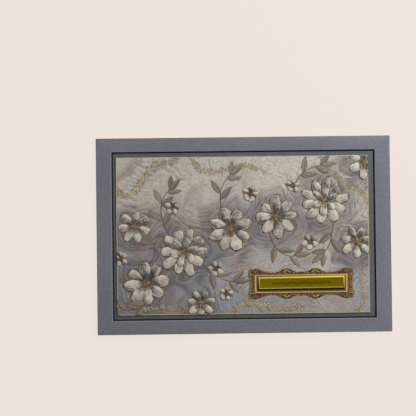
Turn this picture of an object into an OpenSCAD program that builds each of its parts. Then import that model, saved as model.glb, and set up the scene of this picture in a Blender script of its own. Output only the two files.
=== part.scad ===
// Framed wedding invitation card, lying on its back with its face up.
// The origin is the middle of the underside, +X runs to the reader's right, +Y to the top of the card.
// A rigid back board carries a window frame. A dark mat lies in the window with a narrow gap round it,
// the picture print lies on the mat, and a scrolled surround with a gilt name plate lies on the print.
// The print is a generic design: a slanting garland of many-petalled blossoms on marbled paper.

/* [Card] */
// Width of the whole card
card_w = 228.6; // [200:0.1:300]
// Height of the whole card
card_h = 152.4; // [140:0.1:200]
// Thickness of the rigid back board
back_t = 2; // [1:0.1:4]
// Radius of the upright corners of the boards
corner_r = 0.6; // [0.2:0.1:2]

/* [Window frame] */
// Width of the left and right rails
rail_side = 12; // [8:0.1:16]
// Width of the top and bottom rails
rail_end = 10.8; // [8:0.1:16]
// Thickness of the frame board
frame_t = 3; // [2.6:0.1:5]

/* [Mat] */
// Thickness of the mat
mat_t = 1; // [0.5:0.1:1.5]
// Open gap between the mat and the window
mat_gap = 0.9; // [0.3:0.1:1.5]
// Width of mat that shows round the print
mat_show = 3.3; // [2:0.1:6]

/* [Print] */
// Thickness of the printed board
print_t = 1; // [0.5:0.1:1.5]
// How far the hand-laid print sits to the right of the middle of the window
print_shift = -0.8; // [-1.5:0.1:1.5]
// Height of the raised petals above the print
petal_rise = 0.6; // [0.3:0.05:1]
// Height of the raised leaves above the print
leaf_rise = 0.4; // [0.2:0.05:0.6]
// Height of the gilt veins above the print
vein_rise = 0.14; // [0.1:0.02:0.3]
// Widest width of a gilt vein
vein_w = 1.8; // [1:0.1:3]
// Sideways gap between neighbouring fields of the raised print
field_gap = 0.15; // [0.1:0.05:0.4]
// Radius of a full-grown blossom
blossom_r = 20; // [15:0.5:22]
// Radius of a small filler blossom
filler_r = 7; // [5:0.5:9]
// Radius of a blossom's centre
centre_r = 3.6; // [2.5:0.1:4.5]
// Height of a blossom's centre above its petals
centre_rise = 0.3; // [0.15:0.05:0.5]
// Length of a full-grown leaf
leaf_l = 15; // [10:0.5:20]
// Width of a full-grown leaf
leaf_w = 5.6; // [3:0.1:8]
// Width of a stem at its foot
stem_w = 1.1; // [0.8:0.1:1.5]

/* [Name plate] */
// Width of the name plate
plate_w = 67.5; // [55:0.5:72]
// Height of the name plate
plate_h = 10; // [8:0.1:12]
// Thickness of the name plate's field
plate_t = 1.2; // [0.8:0.1:2]
// Width of the raised rim of the name plate
rim_w = 1.2; // [0.8:0.1:2]
// Height of the rim above the field
rim_rise = 0.3; // [0.1:0.05:0.5]
// Turn of the hand-placed name plate
plate_skew = 0.5; // [-0.6:0.1:0.6]
// How far the name plate sits above the middle of its surround
plate_lift = 0.5; // [0:0.1:0.5]
// Width of the vine ornament's stem
vine_w = 0.56; // [0.4:0.02:1]
// Length of the vine ornament on the name plate
vine_l = 46; // [30:1:48]
// Height of the vine ornament from wave to wave
vine_h = 2.4; // [1.5:0.1:3]
// Height of the vine ornament above the field
vine_rise = 0.15; // [0.1:0.05:0.3]

/* [Surround] */
// Space between the surround and the print's right edge
plaque_side = 12.4; // [8:0.1:16]
// Space between the surround and the print's bottom edge
plaque_end = 11.2; // [8:0.1:16]
// Thickness of the surround's base
base_t = 0.3; // [0.2:0.05:0.5]
// Clear space between the name plate and the moulding at its two ends
sight_side = 1.4; // [1.3:0.1:2.5]
// Clear space between the name plate and the moulding above and below
sight_end = 1.1; // [1:0.1:2.5]
// Width of the plain inner moulding
mould_w = 1.1; // [0.8:0.1:1.6]
// Height of the inner moulding above the base
mould_rise = 0.5; // [0.3:0.05:0.8]
// Height of the scrolls above the base
scroll_rise = 0.4; // [0.2:0.05:0.6]
// Reach of the scrollwork past the moulding at its corners and crests
scroll_reach = 4.7; // [3.6:0.1:5.5]
// Width of plain base that shows outside the scrolls
base_ledge = 0.3; // [0.2:0.05:0.6]
// Width of the groove between the moulding and the scrolls
scroll_gap = 0.2; // [0.1:0.05:0.4]

/* [Hidden] */
$fn = 48;

// Heights at which one layer lies on the next
mat_z = back_t;
print_z = mat_z + mat_t;
art_z = print_z + print_t;
plate_z = art_z + base_t;
field_z = plate_z + plate_t;

// Sizes that follow from the boards around them
window_w = card_w - 2 * rail_side;
window_h = card_h - 2 * rail_end;
mat_w = window_w - 2 * mat_gap;
mat_h = window_h - 2 * mat_gap;
print_w = mat_w - 2 * mat_show;
print_h = mat_h - 2 * mat_show;

// The moulding's opening follows the name plate, and the surround follows the moulding
sight_w = plate_w + 2 * sight_side;
sight_h = plate_h + 2 * sight_end;
mould_hw = sight_w / 2 + mould_w;
mould_hh = sight_h / 2 + mould_w;
plaque_x = print_w / 2 - plaque_side - mould_hw - scroll_reach;
plaque_y = -print_h / 2 + plaque_end + mould_hh + scroll_reach;

// Blossoms: place as shares of the print's half width and half height, share of the full radius,
// petals, turn, and petals in a second ring
BLOSSOMS = [
    [-0.77, -0.60, 0.95, 8, 8, 0],
    [-0.47, -0.20, 1.05, 10, 0, 6],
    [-0.10, 0.07, 0.95, 8, 20, 0],
    [0.27, 0.22, 0.9, 8, 3, 0],
    [0.65, 0.42, 1, 10, 10, 6],
    [0.90, -0.10, 0.7, 7, 12, 0],
    [-0.86, 0.12, 0.7, 7, 30, 0],
    [-0.34, -0.86, 0.6, 7, 15, 0],
    [0.98, 0.90, 0.75, 7, 0, 0]];
// Small filler blossoms with five petals: place, share of the filler radius, turn
FILLERS = [
    [-0.56, 0.36, 0.93, 10],
    [-0.22, -0.42, 1, 40],
    [0.06, 0.52, 1, 0],
    [0.53, -0.10, 1, 50],
    [0.40, 0.62, 0.86, 15],
    [-0.97, -0.28, 0.93, 33],
    [-0.14, -0.74, 0.86, 5]];
// Stems: start, pull and end of each curve in the same shares, and pairs of leaves
STEMS = [
    [[-0.70, -0.72], [-0.80, -0.98], [-1.00, -0.92], 2],
    [[-0.56, -0.06], [-0.74, 0.40], [-0.55, 0.62], 3],
    [[-0.14, 0.20], [-0.24, 0.62], [-0.06, 0.80], 2],
    [[-0.36, -0.28], [-0.20, -0.62], [-0.05, -0.58], 2],
    [[0.20, 0.08], [0.26, -0.34], [0.44, -0.26], 2],
    [[0.41, 0.60], [0.46, 0.86], [0.66, 0.88], 2],
    [[0.72, 0.26], [0.72, -0.16], [0.62, -0.26], 2],
    [[-0.80, -0.45], [-0.62, -0.20], [-0.76, -0.02], 1]];
// Gilt veins in the marbling: four points of each curve in the same shares, and a share of the widest width
VEINS = [
    [[-1.00, 0.60], [-0.80, 0.30], [-0.86, 0.96], [-0.52, 0.96], 1],
    [[-0.40, 1.00], [-0.30, 0.55], [-0.02, 1.06], [0.18, 0.80], 0.78],
    [[0.62, 1.00], [0.70, 0.70], [0.94, 0.62], [1.00, 0.40], 0.78],
    [[-1.00, -0.84], [-0.72, -1.02], [-0.62, -0.80], [-0.44, -1.00], 0.89],
    [[-0.10, -1.00], [0.02, -0.70], [0.20, -1.00], [0.44, -0.92], 1],
    [[0.96, -0.40], [0.90, -0.62], [1.02, -0.74], [0.90, -1.00], 0.78]];
VEIN_STEPS = 12;
// Slivers of vein narrower than twice this are dropped
vein_sliver = 0.1;
STEM_STEPS = 6;

// Widths of the petals of single, double and filler blossoms, as shares of the blossom's radius
single_petal_w = 0.54;
double_petal_w = 0.42;
filler_petal_w = 0.85;
FILLER_PETALS = 5;
// Reach and height of every second petal, as a share of its neighbours'
lower_petal = 0.94;
// Height of a petal's edge, as a share of its ridge
petal_edge = 0.4;
// A double blossom's inner ring: its reach and turn, and the height of the outer ring below it
inner_reach = 0.62;
inner_turn = 12;
outer_rise = 0.7;
filler_rise = 0.8;
// Height of a leaf's edge as a share of its midrib, and its angle to the stem
leaf_edge = 0.5;
leaf_splay = 42;
stem_rise = 0.8;

function at_print(share) = [share[0] * print_w / 2, share[1] * print_h / 2];
function quadratic(a, b, c, t) = a * pow(1 - t, 2) + b * 2 * t * (1 - t) + c * t * t;
function cubic(a, b, c, d, t) =
    a * pow(1 - t, 3) + b * 3 * t * pow(1 - t, 2) + c * 3 * t * t * (1 - t) + d * pow(t, 3);

// The outline of one petal along +X: a narrow foot, a full belly and a blunt point
function petal_outline(l, w) = [[0.1 * l, 0], [0.6 * l, -0.5 * w], [0.86 * l, -0.38 * w],
    [l, 0], [0.86 * l, 0.38 * w], [0.6 * l, 0.5 * w]];

module upright_board(w, h, t, r) {
    linear_extrude(height = t) {
        square([w - 2 * r, h], center = true);
        square([w, h - 2 * r], center = true);
        for (x = [-1, 1], y = [-1, 1])
            translate([x * (w / 2 - r), y * (h / 2 - r)]) circle(r = r);
    }
}

// A petal is a thin edge drawn up to a ridge along its middle
module petal(l, w, rise) {
    hull() {
        linear_extrude(height = rise * petal_edge) polygon(petal_outline(l, w));
        linear_extrude(height = rise) polygon([[0.3 * l, 0], [0.7 * l, -0.12 * w], [0.7 * l, 0.12 * w]]);
    }
}

// Petals in a ring. Every second one lies a little lower, under its neighbours
module petal_ring(r, petals, w, turn, rise) {
    for (k = [0 : petals - 1]) {
        share = k % 2 == 0 ? 1 : lower_petal;
        rotate(turn + 360 * k / petals) petal(r * share, r * w, rise * share);
    }
}

module petal_ring_outline(r, petals, w, turn) {
    for (k = [0 : petals - 1])
        rotate(turn + 360 * k / petals) polygon(petal_outline(r * (k % 2 == 0 ? 1 : lower_petal), r * w));
}

function is_double(b) = b[5] > 0;
function ring_w(b) = is_double(b) ? double_petal_w : single_petal_w;
function radius_of(b) = b[2] * blossom_r;

module at_blossom(b) {
    translate(concat(at_print(b), art_z)) children();
}

module one_blossom(b) {
    at_blossom(b) {
        petal_ring(radius_of(b), b[3], ring_w(b), b[4], petal_rise * (is_double(b) ? outer_rise : 1));
        if (is_double(b))
            petal_ring(radius_of(b) * inner_reach, b[5], single_petal_w, b[4] + inner_turn, petal_rise);
    }
}

// The flat shape that all blossoms cover, which the other fields of the print keep out of
module blossom_cover() {
    for (b = BLOSSOMS)
        translate(at_print(b)) petal_ring_outline(radius_of(b), b[3], ring_w(b), b[4]);
    for (f = FILLERS)
        translate(at_print(f))
            petal_ring_outline(f[2] * filler_r, FILLER_PETALS, filler_petal_w, f[3]);
}

module at_plaque() {
    on_print() translate([plaque_x, plaque_y, 0]) children();
}

module on_print() {
    translate([print_shift, 0, 0]) children();
}

module within_print() {
    intersection() {
        children();
        translate([-print_w / 2, -print_h / 2, 0]) cube([print_w, print_h, 2 * art_z]);
    }
}

// A flat ribbon along a row of points, with half its width listed for each point
module ribbon(points, halves) {
    last = len(points) - 1;
    sides = [for (i = [0 : last])
        let (d = points[min(i + 1, last)] - points[max(i - 1, 0)], u = d / norm(d))
        [-u[1], u[0]] * halves[i]];
    polygon(concat(
        [for (i = [0 : last]) points[i] + sides[i]],
        [for (i = [last : -1 : 0]) points[i] - sides[i]]));
}

function swell(k) = (0.35 + 0.65 * sin(180 * k / VEIN_STEPS)) * (1 - 0.3 * cos(1080 * k / VEIN_STEPS));
module vein_ribbon(v) {
    curve = [for (p = [0 : 3]) at_print(v[p])];
    ribbon(
        [for (k = [0 : VEIN_STEPS]) cubic(curve[0], curve[1], curve[2], curve[3], k / VEIN_STEPS)],
        [for (k = [0 : VEIN_STEPS]) v[4] * vein_w / 2 * swell(k)]);
}

module stem_ribbon(s) {
    ribbon(
        [for (k = [0 : STEM_STEPS])
            quadratic(at_print(s[0]), at_print(s[1]), at_print(s[2]), k / STEM_STEPS)],
        [for (k = [0 : STEM_STEPS]) stem_w / 2 * (1 - 0.4 * k / STEM_STEPS)]);
}

function leaf_outline(size) = [
    for (p = [[0, 0], [0.28, -0.42], [0.6, -0.46], [1, 0], [0.6, 0.46], [0.28, 0.42]])
    [p[0] * leaf_l * size, p[1] * leaf_w * size]];
function midrib(size) = [for (p = [[0.1, 0], [0.45, -0.06], [0.9, 0], [0.45, 0.06]])
    [p[0] * leaf_l * size, p[1] * leaf_w * size]];

// A leaf is a thin edge drawn up to its midrib
module leaf(size) {
    hull() {
        linear_extrude(height = leaf_rise * leaf_edge) polygon(leaf_outline(size));
        linear_extrude(height = leaf_rise) polygon(midrib(size));
    }
}

// Pairs of leaves along a stem and one at its tip
module along_stem(s) {
    a = at_print(s[0]);
    b = at_print(s[1]);
    c = at_print(s[2]);
    for (k = [1 : s[3]], side = [-1, 1]) {
        t = (k - 0.15 + 0.12 * side) / (s[3] + 0.2);
        foot = quadratic(a, b, c, t);
        ahead = quadratic(a, b, c, t + 0.02) - foot;
        translate(foot) rotate(atan2(ahead[1], ahead[0]) + side * leaf_splay) leaf(1 - 0.25 * t);
    }
    neck = quadratic(a, b, c, 0.9);
    end = c - neck;
    translate(neck) rotate(atan2(end[1], end[0]) + 4) leaf(0.85);
}

// The scalloped outline of the surround: flared corners, two crests above and below, hollows between
crest_at = 0.31;
crest_half = 0.27;
corner_half = 0.34;
hollow_share = 0.33;
// Curls that just touch are grown by this much, so that they join
scroll_weld = 0.02;
EDGE_STEPS = 28;
END_STEPS = 6;
function bump(u, middle, half) = abs(u - middle) < half ? pow(cos(90 * (u - middle) / half), 2) : 0;
function long_reach(x) =
    let (u = abs(x) / mould_hw)
    scroll_reach * (hollow_share + 0.14 * bump(u, 0, 0.1)
        + (1 - hollow_share) * (bump(u, crest_at, crest_half) + bump(u, 1, corner_half)));
function end_reach(y) = scroll_reach * (0.8 + 0.2 * pow(abs(y) / mould_hh, 2));
function upper_edge() = [for (k = [0 : EDGE_STEPS])
    let (x = mould_hw * (2 * k / EDGE_STEPS - 1)) [x, mould_hh + long_reach(x)]];
function right_edge() = [for (k = [0 : END_STEPS])
    let (y = mould_hh * (1 - 2 * k / END_STEPS)) [mould_hw + end_reach(y), y]];
function reversed(points) = [for (k = [len(points) - 1 : -1 : 0]) points[k]];
function surround_outline() =
    let (corner = [mould_hw + scroll_reach * 0.8, mould_hh + scroll_reach * 0.8])
    concat(upper_edge(), [corner], right_edge(), [[corner[0], -corner[1]]],
        [for (p = reversed(upper_edge())) [p[0], -p[1]]], [-corner],
        [for (p = reversed(right_edge())) [-p[0], p[1]]], [[-corner[0], corner[1]]]);

module curl(r) {
    difference() {
        circle(r = r, $fn = 8);
        circle(r = r * 0.48, $fn = 6);
    }
}

// One corner of the scrollwork: a big curl on the diagonal and a small one on either side
module corner_scrolls() {
    reach = scroll_reach;
    curl(0.42 * reach);
    for (p = [[-0.88, 0.12], [0.12, -0.88]])
        translate([p[0] * reach, p[1] * reach]) curl(0.32 * reach);
}

// A crest: a shell of five lobes over a curl, with a curl on either side
module crest_scrolls() {
    reach = scroll_reach;
    for (a = [-70 : 35 : 70])
        translate([0.46 * reach * sin(a), (0.3 + 0.46 * cos(a)) * reach])
            circle(r = 0.16 * reach, $fn = 6);
    for (x = [-0.78, 0, 0.78])
        translate([x * reach, 0.28 * reach]) curl(0.26 * reach);
}

module scrollwork() {
    for (x = [0, 1], y = [0, 1])
        mirror([x, 0]) mirror([0, y]) {
            translate([mould_hw + 0.42 * scroll_reach, mould_hh + 0.38 * scroll_reach]) corner_scrolls();
            translate([crest_at * mould_hw, mould_hh]) crest_scrolls();
        }
    beads = round(mould_hw / scroll_reach);
    for (k = [-beads : beads], y = [-1, 1])
        translate([k * mould_hw / beads * 0.8, y * (mould_hh + 0.21 * scroll_reach)])
            circle(r = 0.14 * scroll_reach, $fn = 4);
    for (x = [-1, 1])
        translate([x * (mould_hw + 0.42 * scroll_reach), 0]) curl(0.32 * scroll_reach);
}

module sight_edge(w, h, wall) {
    difference() {
        square([w + 2 * wall, h + 2 * wall], center = true);
        square([w, h], center = true);
    }
}

// A running vine: a wave with a berry in every hollow
VINE_WAVES = 5;
VINE_STEPS = 40;
function vine_y(x) = vine_h / 2 * sin(360 * VINE_WAVES * x / vine_l);
module vine() {
    ribbon(
        [for (k = [0 : VINE_STEPS]) let (x = vine_l * (k / VINE_STEPS - 0.5)) [x, vine_y(x)]],
        [for (k = [0 : VINE_STEPS]) vine_w * (0.22 + 0.28 * sin(180 * k / VINE_STEPS))]);
    for (k = [0 : 2 * VINE_WAVES - 1]) {
        x = vine_l * ((k + 0.5) / (2 * VINE_WAVES) - 0.5);
        translate([x, -vine_y(x) * 0.45]) circle(d = vine_h * 0.28, $fn = 8);
    }
}

module back_board() {
    color("slategray") upright_board(card_w, card_h, back_t, corner_r);
}

module window_frame() {
    color("slategray") translate([0, 0, mat_z]) difference() {
        upright_board(card_w, card_h, frame_t, corner_r);
        cube([window_w, window_h, 3 * frame_t], center = true);
    }
}

module mat_panel() {
    color("darkslategray") translate([0, 0, mat_z]) upright_board(mat_w, mat_h, mat_t, corner_r / 2);
}

module print_panel() {
    color("#a09c93") on_print() translate([0, 0, print_z + print_t / 2])
        cube([print_w, print_h, print_t], center = true);
}

// The veins stop short of whatever lies over them, and slivers of vein are dropped
module gilt_veins() {
    color("#c8b070") on_print() within_print() translate([0, 0, art_z]) linear_extrude(height = vein_rise)
        offset(delta = vein_sliver) offset(delta = -vein_sliver) difference() {
            for (v = VEINS) vein_ribbon(v);
            offset(delta = field_gap) {
                blossom_cover();
                for (s = STEMS) stem_ribbon(s);
                for (s = STEMS) projection() along_stem(s);
                translate([plaque_x, plaque_y]) polygon(surround_outline());
            }
        }
}

module leaf_sprays() {
    color("#7d7466") on_print() within_print() translate([0, 0, art_z]) difference() {
        for (s = STEMS) {
            along_stem(s);
            linear_extrude(height = leaf_rise * stem_rise) stem_ribbon(s);
        }
        translate([0, 0, -leaf_rise]) linear_extrude(height = 3 * leaf_rise) offset(delta = field_gap) {
            blossom_cover();
            translate([plaque_x, plaque_y]) polygon(surround_outline());
        }
    }
}

module blossom_petals() {
    color("#d6cfc0") on_print() within_print() difference() {
        union() {
            for (b = BLOSSOMS) one_blossom(b);
            for (f = FILLERS)
                at_blossom(f) petal_ring(f[2] * filler_r, FILLER_PETALS, filler_petal_w, f[3],
                    petal_rise * filler_rise);
        }
        for (b = BLOSSOMS)
            at_blossom(b) translate([0, 0, -petal_rise])
                cylinder(r = centre_r + field_gap, h = 3 * petal_rise, $fn = CENTRE_SIDES);
    }
}

// Centres: a drum in the middle of the petals with its top edge drawn in
CENTRE_SIDES = 14;
module one_centre() {
    hull() {
        cylinder(r = centre_r, h = petal_rise + centre_rise / 3, $fn = CENTRE_SIDES);
        cylinder(r = centre_r * 0.6, h = petal_rise + centre_rise, $fn = CENTRE_SIDES);
    }
}

module blossom_centres() {
    color("#8a5f33") on_print() within_print() {
        for (b = BLOSSOMS) at_blossom(b) one_centre();
    }
}

module scroll_surround() {
    color("#8f6e46") at_plaque() translate([0, 0, art_z]) {
        linear_extrude(height = base_t) polygon(surround_outline());
        translate([0, 0, base_t]) linear_extrude(height = mould_rise) sight_edge(sight_w, sight_h, mould_w);
        translate([0, 0, base_t]) linear_extrude(height = scroll_rise) intersection() {
            offset(delta = scroll_weld) scrollwork();
            difference() {
                offset(delta = -base_ledge) polygon(surround_outline());
                square([2 * (mould_hw + scroll_gap), 2 * (mould_hh + scroll_gap)], center = true);
            }
        }
    }
}

module name_plate() {
    color("#9c8d14") at_plaque() translate([0, plate_lift, 0]) rotate(plate_skew) {
        translate([0, 0, plate_z + plate_t / 2]) cube([plate_w, plate_h, plate_t], center = true);
        translate([0, 0, field_z]) linear_extrude(height = rim_rise)
            sight_edge(plate_w - 2 * rim_w, plate_h - 2 * rim_w, rim_w);
        translate([0, 0, field_z]) linear_extrude(height = vine_rise) vine();
    }
}

back_board();
window_frame();
mat_panel();
print_panel();
gilt_veins();
leaf_sprays();
blossom_petals();
blossom_centres();
scroll_surround();
name_plate();
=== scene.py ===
import math
import random
import bmesh
import bpy
import numpy as np
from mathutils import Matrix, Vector, noise


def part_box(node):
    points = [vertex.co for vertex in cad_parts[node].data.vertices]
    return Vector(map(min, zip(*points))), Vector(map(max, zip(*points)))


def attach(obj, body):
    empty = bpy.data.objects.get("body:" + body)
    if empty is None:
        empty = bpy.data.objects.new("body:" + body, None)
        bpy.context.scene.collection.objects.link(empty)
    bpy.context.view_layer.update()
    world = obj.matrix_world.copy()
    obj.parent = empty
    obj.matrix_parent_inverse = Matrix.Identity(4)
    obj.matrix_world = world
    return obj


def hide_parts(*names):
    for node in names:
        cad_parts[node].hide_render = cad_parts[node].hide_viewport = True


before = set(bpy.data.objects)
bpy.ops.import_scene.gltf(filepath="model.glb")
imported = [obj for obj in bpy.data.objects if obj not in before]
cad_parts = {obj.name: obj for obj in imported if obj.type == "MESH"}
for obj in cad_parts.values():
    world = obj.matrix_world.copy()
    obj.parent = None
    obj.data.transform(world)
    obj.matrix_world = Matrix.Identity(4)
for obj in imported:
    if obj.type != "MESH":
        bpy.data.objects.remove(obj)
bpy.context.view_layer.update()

# Framed invitation card: wrapped boards, a mat, a marbled art print with raised blossoms, and a gilt
# surround with a name plate. Lengths marked mm are turned into metres where they are used.

mm = 0.001
fourWays = ((1, 0), (-1, 0), (0, 1), (0, -1))
bpy.ops.object.select_all(action="DESELECT")


# Small tools

def activate(*chosen):
    bpy.ops.object.select_all(action="DESELECT")
    for piece in chosen:
        piece.select_set(True)
    bpy.context.view_layer.objects.active = chosen[0]


def applyPlace():
    bpy.ops.object.transform_apply(location=True, rotation=True, scale=True)


def editPiece(piece):
    activate(piece)
    bpy.ops.object.mode_set(mode="EDIT")


def leaveEdit():
    bpy.ops.object.mode_set(mode="OBJECT")


def selectAll(action="SELECT"):          # this and the next tools work in edit mode
    bpy.ops.mesh.select_all(action=action)


def pick(kind, test):                    # selects the verts, edges or faces that pass the test
    bpy.ops.mesh.select_mode(type={"verts": "VERT", "edges": "EDGE", "faces": "FACE"}[kind])
    selectAll("DESELECT")
    mesh = bmesh.from_edit_mesh(bpy.context.object.data)
    for part in getattr(mesh, kind):
        if test(part):
            part.select_set(True)
    bmesh.update_edit_mesh(bpy.context.object.data)


def isUpright(edge):
    a, b = [vert.co for vert in edge.verts]
    return (a.xy - b.xy).length < 1e-6


def extrudeUp(height):
    bpy.ops.mesh.extrude_region_move(TRANSFORM_OT_translate={"value": (0, 0, height)})


def insetSteps(steps):                   # each step is a width inwards and a rise, in mm
    for width, rise in steps:
        bpy.ops.mesh.inset(thickness=width * mm, depth=rise * mm)


def faceOutwards():
    selectAll()
    bpy.ops.mesh.normals_make_consistent(inside=False)


def fillHoles():
    selectAll()
    bpy.ops.mesh.fill_holes(sides=0)


def dropLooseParts():
    selectAll()
    bpy.ops.mesh.delete_loose()


def paint(finish):                       # gives the selected faces a finish of their own
    piece = bpy.context.object
    if finish.name not in piece.data.materials:
        piece.data.materials.append(finish)
    piece.active_material_index = piece.data.materials.find(finish.name)
    bpy.ops.object.material_slot_assign()


def addModifier(piece, kind, **settings):        # from here on the tools work in object mode
    step = piece.modifiers.new(kind.title(), kind)
    for name, value in settings.items():
        setattr(step, name, value)
    activate(piece)
    bpy.ops.object.modifier_apply(modifier=step.name)


def bevelEdges(piece, width):            # rounds every edge that turns by more than 25 degrees
    addModifier(piece, "BEVEL", width=width, segments=2, limit_method="ANGLE", angle_limit=math.radians(25))


def smoothBy(piece, degrees):
    activate(piece)
    bpy.ops.object.shade_smooth_by_angle(angle=math.radians(degrees))


def joinPieces(pieces):
    activate(*pieces)
    bpy.ops.object.join()
    applyPlace()
    return bpy.context.object


def copyOf(model, spot, size, turn=(0, 0, 0)):   # each copy has a mesh of its own
    copied = model.copy()
    copied.data = model.data.copy()
    bpy.context.collection.objects.link(copied)
    copied.location = spot
    copied.scale = size
    copied.rotation_euler = turn
    return copied


def startTube(name, radius, resolution):
    path = bpy.data.curves.new(name, "CURVE")
    path.dimensions = "3D"
    path.bevel_depth = radius
    path.bevel_resolution = resolution
    path.use_fill_caps = True
    return path


def addSpline(path, points):             # each point is x, y, z and thickness
    spline = path.splines.new("POLY")
    spline.points.add(len(points) - 1)
    for point, (x, y, z, thick) in zip(spline.points, points):
        point.co = (x, y, z, 1)
        point.radius = thick
    return spline


def meshFrom(path):                      # a curve becomes a piece whose caps are joined to its walls
    made = bpy.data.objects.new(path.name, path)
    bpy.context.collection.objects.link(made)
    activate(made)
    bpy.ops.object.convert(target="MESH")
    made = bpy.context.object
    editPiece(made)
    selectAll()
    bpy.ops.mesh.remove_doubles(threshold=0.001 * mm)
    faceOutwards()
    leaveEdit()
    return made


def handOver(piece, name, nodes, finish=None):     # places the piece in the frame with its finish
    activate(piece)
    applyPlace()
    piece.name = name
    piece.data.name = name
    if finish:
        piece.data.materials.clear()
        piece.data.materials.append(finish)
    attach(piece, "root")
    if nodes:
        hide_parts(*nodes)
    print("made", name, len(piece.data.polygons), "faces")


# Node tools

def addNode(tree, kind, inputs=None, **settings):    # nodes stand in rows of eight, in the order of making
    made = tree.nodes.new("ShaderNode" + kind)
    made.location = (len(tree.nodes) % 8 * 220, -(len(tree.nodes) // 8) * 320)
    for name, value in settings.items():
        setattr(made, name, value)
    for name, value in (inputs or {}).items():
        if isinstance(value, bpy.types.NodeSocket):
            tree.links.new(value, made.inputs[name])
        elif made.inputs[name].type == "RGBA":
            made.inputs[name].default_value = (*value, 1)
        else:
            made.inputs[name].default_value = value
    return made


def useGroup(tree, group, inputs):
    return addNode(tree, "Group", inputs, node_tree=group).outputs


def objectPlace(tree):
    return addNode(tree, "TexCoord").outputs["Object"]


def axis(tree, place, letter):
    return addNode(tree, "SeparateXYZ", {0: place}).outputs[letter]


def painted(tree, name):                 # a value that the mesh carries at its points
    return addNode(tree, "Attribute", attribute_name=name).outputs["Fac"]


def pointiness(tree):
    return addNode(tree, "NewGeometry").outputs["Pointiness"]


def cloud(tree, place, scale, detail, roughness=0.5, distortion=0.0):
    return addNode(tree, "TexNoise", {"Vector": place, "Scale": scale, "Detail": detail,
                                      "Roughness": roughness, "Distortion": distortion}).outputs


def cells(tree, place, scale):
    return addNode(tree, "TexVoronoi", {"Vector": place, "Scale": scale}).outputs


def blend(tree, factor, under, over):
    return addNode(tree, "Mix", {0: factor, 6: under, 7: over}, data_type="RGBA").outputs[2]


def ramp(tree, value, fromLow, fromHigh, toLow=0.0, toHigh=1.0, curve="SMOOTHSTEP"):
    made = addNode(tree, "MapRange", {0: value, 1: fromLow, 2: fromHigh, 3: toLow, 4: toHigh},
                   interpolation_type=curve)
    return made.outputs[0]


def maths(tree, operation, a, b=0.0):
    return addNode(tree, "Math", {0: a, 1: b}, operation=operation).outputs[0]


def times(tree, a, b):
    return maths(tree, "MULTIPLY", a, b)


def plus(tree, a, b):
    return maths(tree, "ADD", a, b)


def fromMiddle(tree, value, middle):     # how far a value lies from another, on either side
    return maths(tree, "ABSOLUTE", maths(tree, "SUBTRACT", value, middle))


def scaled(tree, colour, share):
    return addNode(tree, "VectorMath", {0: colour, 3: share}, operation="SCALE").outputs[0]


def dot(tree, place, way):
    return addNode(tree, "VectorMath", {0: place, 1: way}, operation="DOT_PRODUCT").outputs["Value"]


def bump(tree, height, distance, strength=1.0):
    return addNode(tree, "Bump", {"Height": height, "Distance": distance, "Strength": strength}).outputs[0]


def startMaterial(name):
    made = bpy.data.materials.new(name)
    made.use_nodes = True
    made.node_tree.nodes.clear()
    return made, made.node_tree


def endMaterial(tree, **inputs):         # a Principled shader, whose sockets are named with _ for a space
    named = {words.replace("_", " "): value for words, value in inputs.items()}
    shader = addNode(tree, "BsdfPrincipled", named)
    addNode(tree, "OutputMaterial", {"Surface": shader.outputs[0]})


def startGroup(name, inputs, outputs):
    tree = bpy.data.node_groups.new(name, "ShaderNodeTree")
    for word, kind, value in inputs:
        socket = tree.interface.new_socket(word, in_out="INPUT", socket_type="NodeSocket" + kind)
        if value is not None:
            socket.default_value = value
    for word, kind in outputs:
        tree.interface.new_socket(word, in_out="OUTPUT", socket_type="NodeSocket" + kind)
    given = tree.nodes.new("NodeGroupInput").outputs
    put = tree.nodes.new("NodeGroupOutput").inputs
    return tree, given, put


# Camera, floor and light

studio = {
    "lens": 77.88, "sensor": 36.0,
    "cameraSpot": (-0.03395, 0.01249, 0.70321), "cameraTurn": (0.733, -0.504, -0.711),   # degrees
    "floorSize": 2.4, "floorColour": (0.863, 0.783, 0.723), "floorFlat": 0.94,
    "keySpot": (0.36, 0.40, 0.52), "keySize": 0.28, "keyPower": 4.5,
    "skyStrength": 0.27,
}


def setCamera():
    made = bpy.data.cameras.new("camera")
    made.lens = studio["lens"]
    made.sensor_width = studio["sensor"]
    camera = bpy.data.objects.new("camera", made)
    camera.location = studio["cameraSpot"]
    camera.rotation_euler = [math.radians(turn) for turn in studio["cameraTurn"]]
    bpy.context.collection.objects.link(camera)
    bpy.context.scene.camera = camera


def backdropRay(tree):                   # one where the camera, gloss or glass looks straight at the backdrop
    path = addNode(tree, "LightPath").outputs
    seen = maths(tree, "MAXIMUM", path["Is Camera Ray"], path["Is Glossy Ray"])
    return maths(tree, "MAXIMUM", seen, path["Is Transmission Ray"])


def setFloor():
    bpy.ops.mesh.primitive_plane_add(size=studio["floorSize"], location=(0, 0, 0))
    floor = bpy.context.object
    floor.name = "floor"
    material, tree = startMaterial("floorPaper")
    matte = addNode(tree, "BsdfDiffuse", {"Color": studio["floorColour"]})
    flat = addNode(tree, "Emission", {"Color": studio["floorColour"], "Strength": 1.0})
    share = times(tree, backdropRay(tree), studio["floorFlat"])
    mixed = addNode(tree, "MixShader", {0: share, 1: matte.outputs[0], 2: flat.outputs[0]})
    addNode(tree, "OutputMaterial", {"Surface": mixed.outputs[0]})
    floor.data.materials.append(material)


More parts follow.
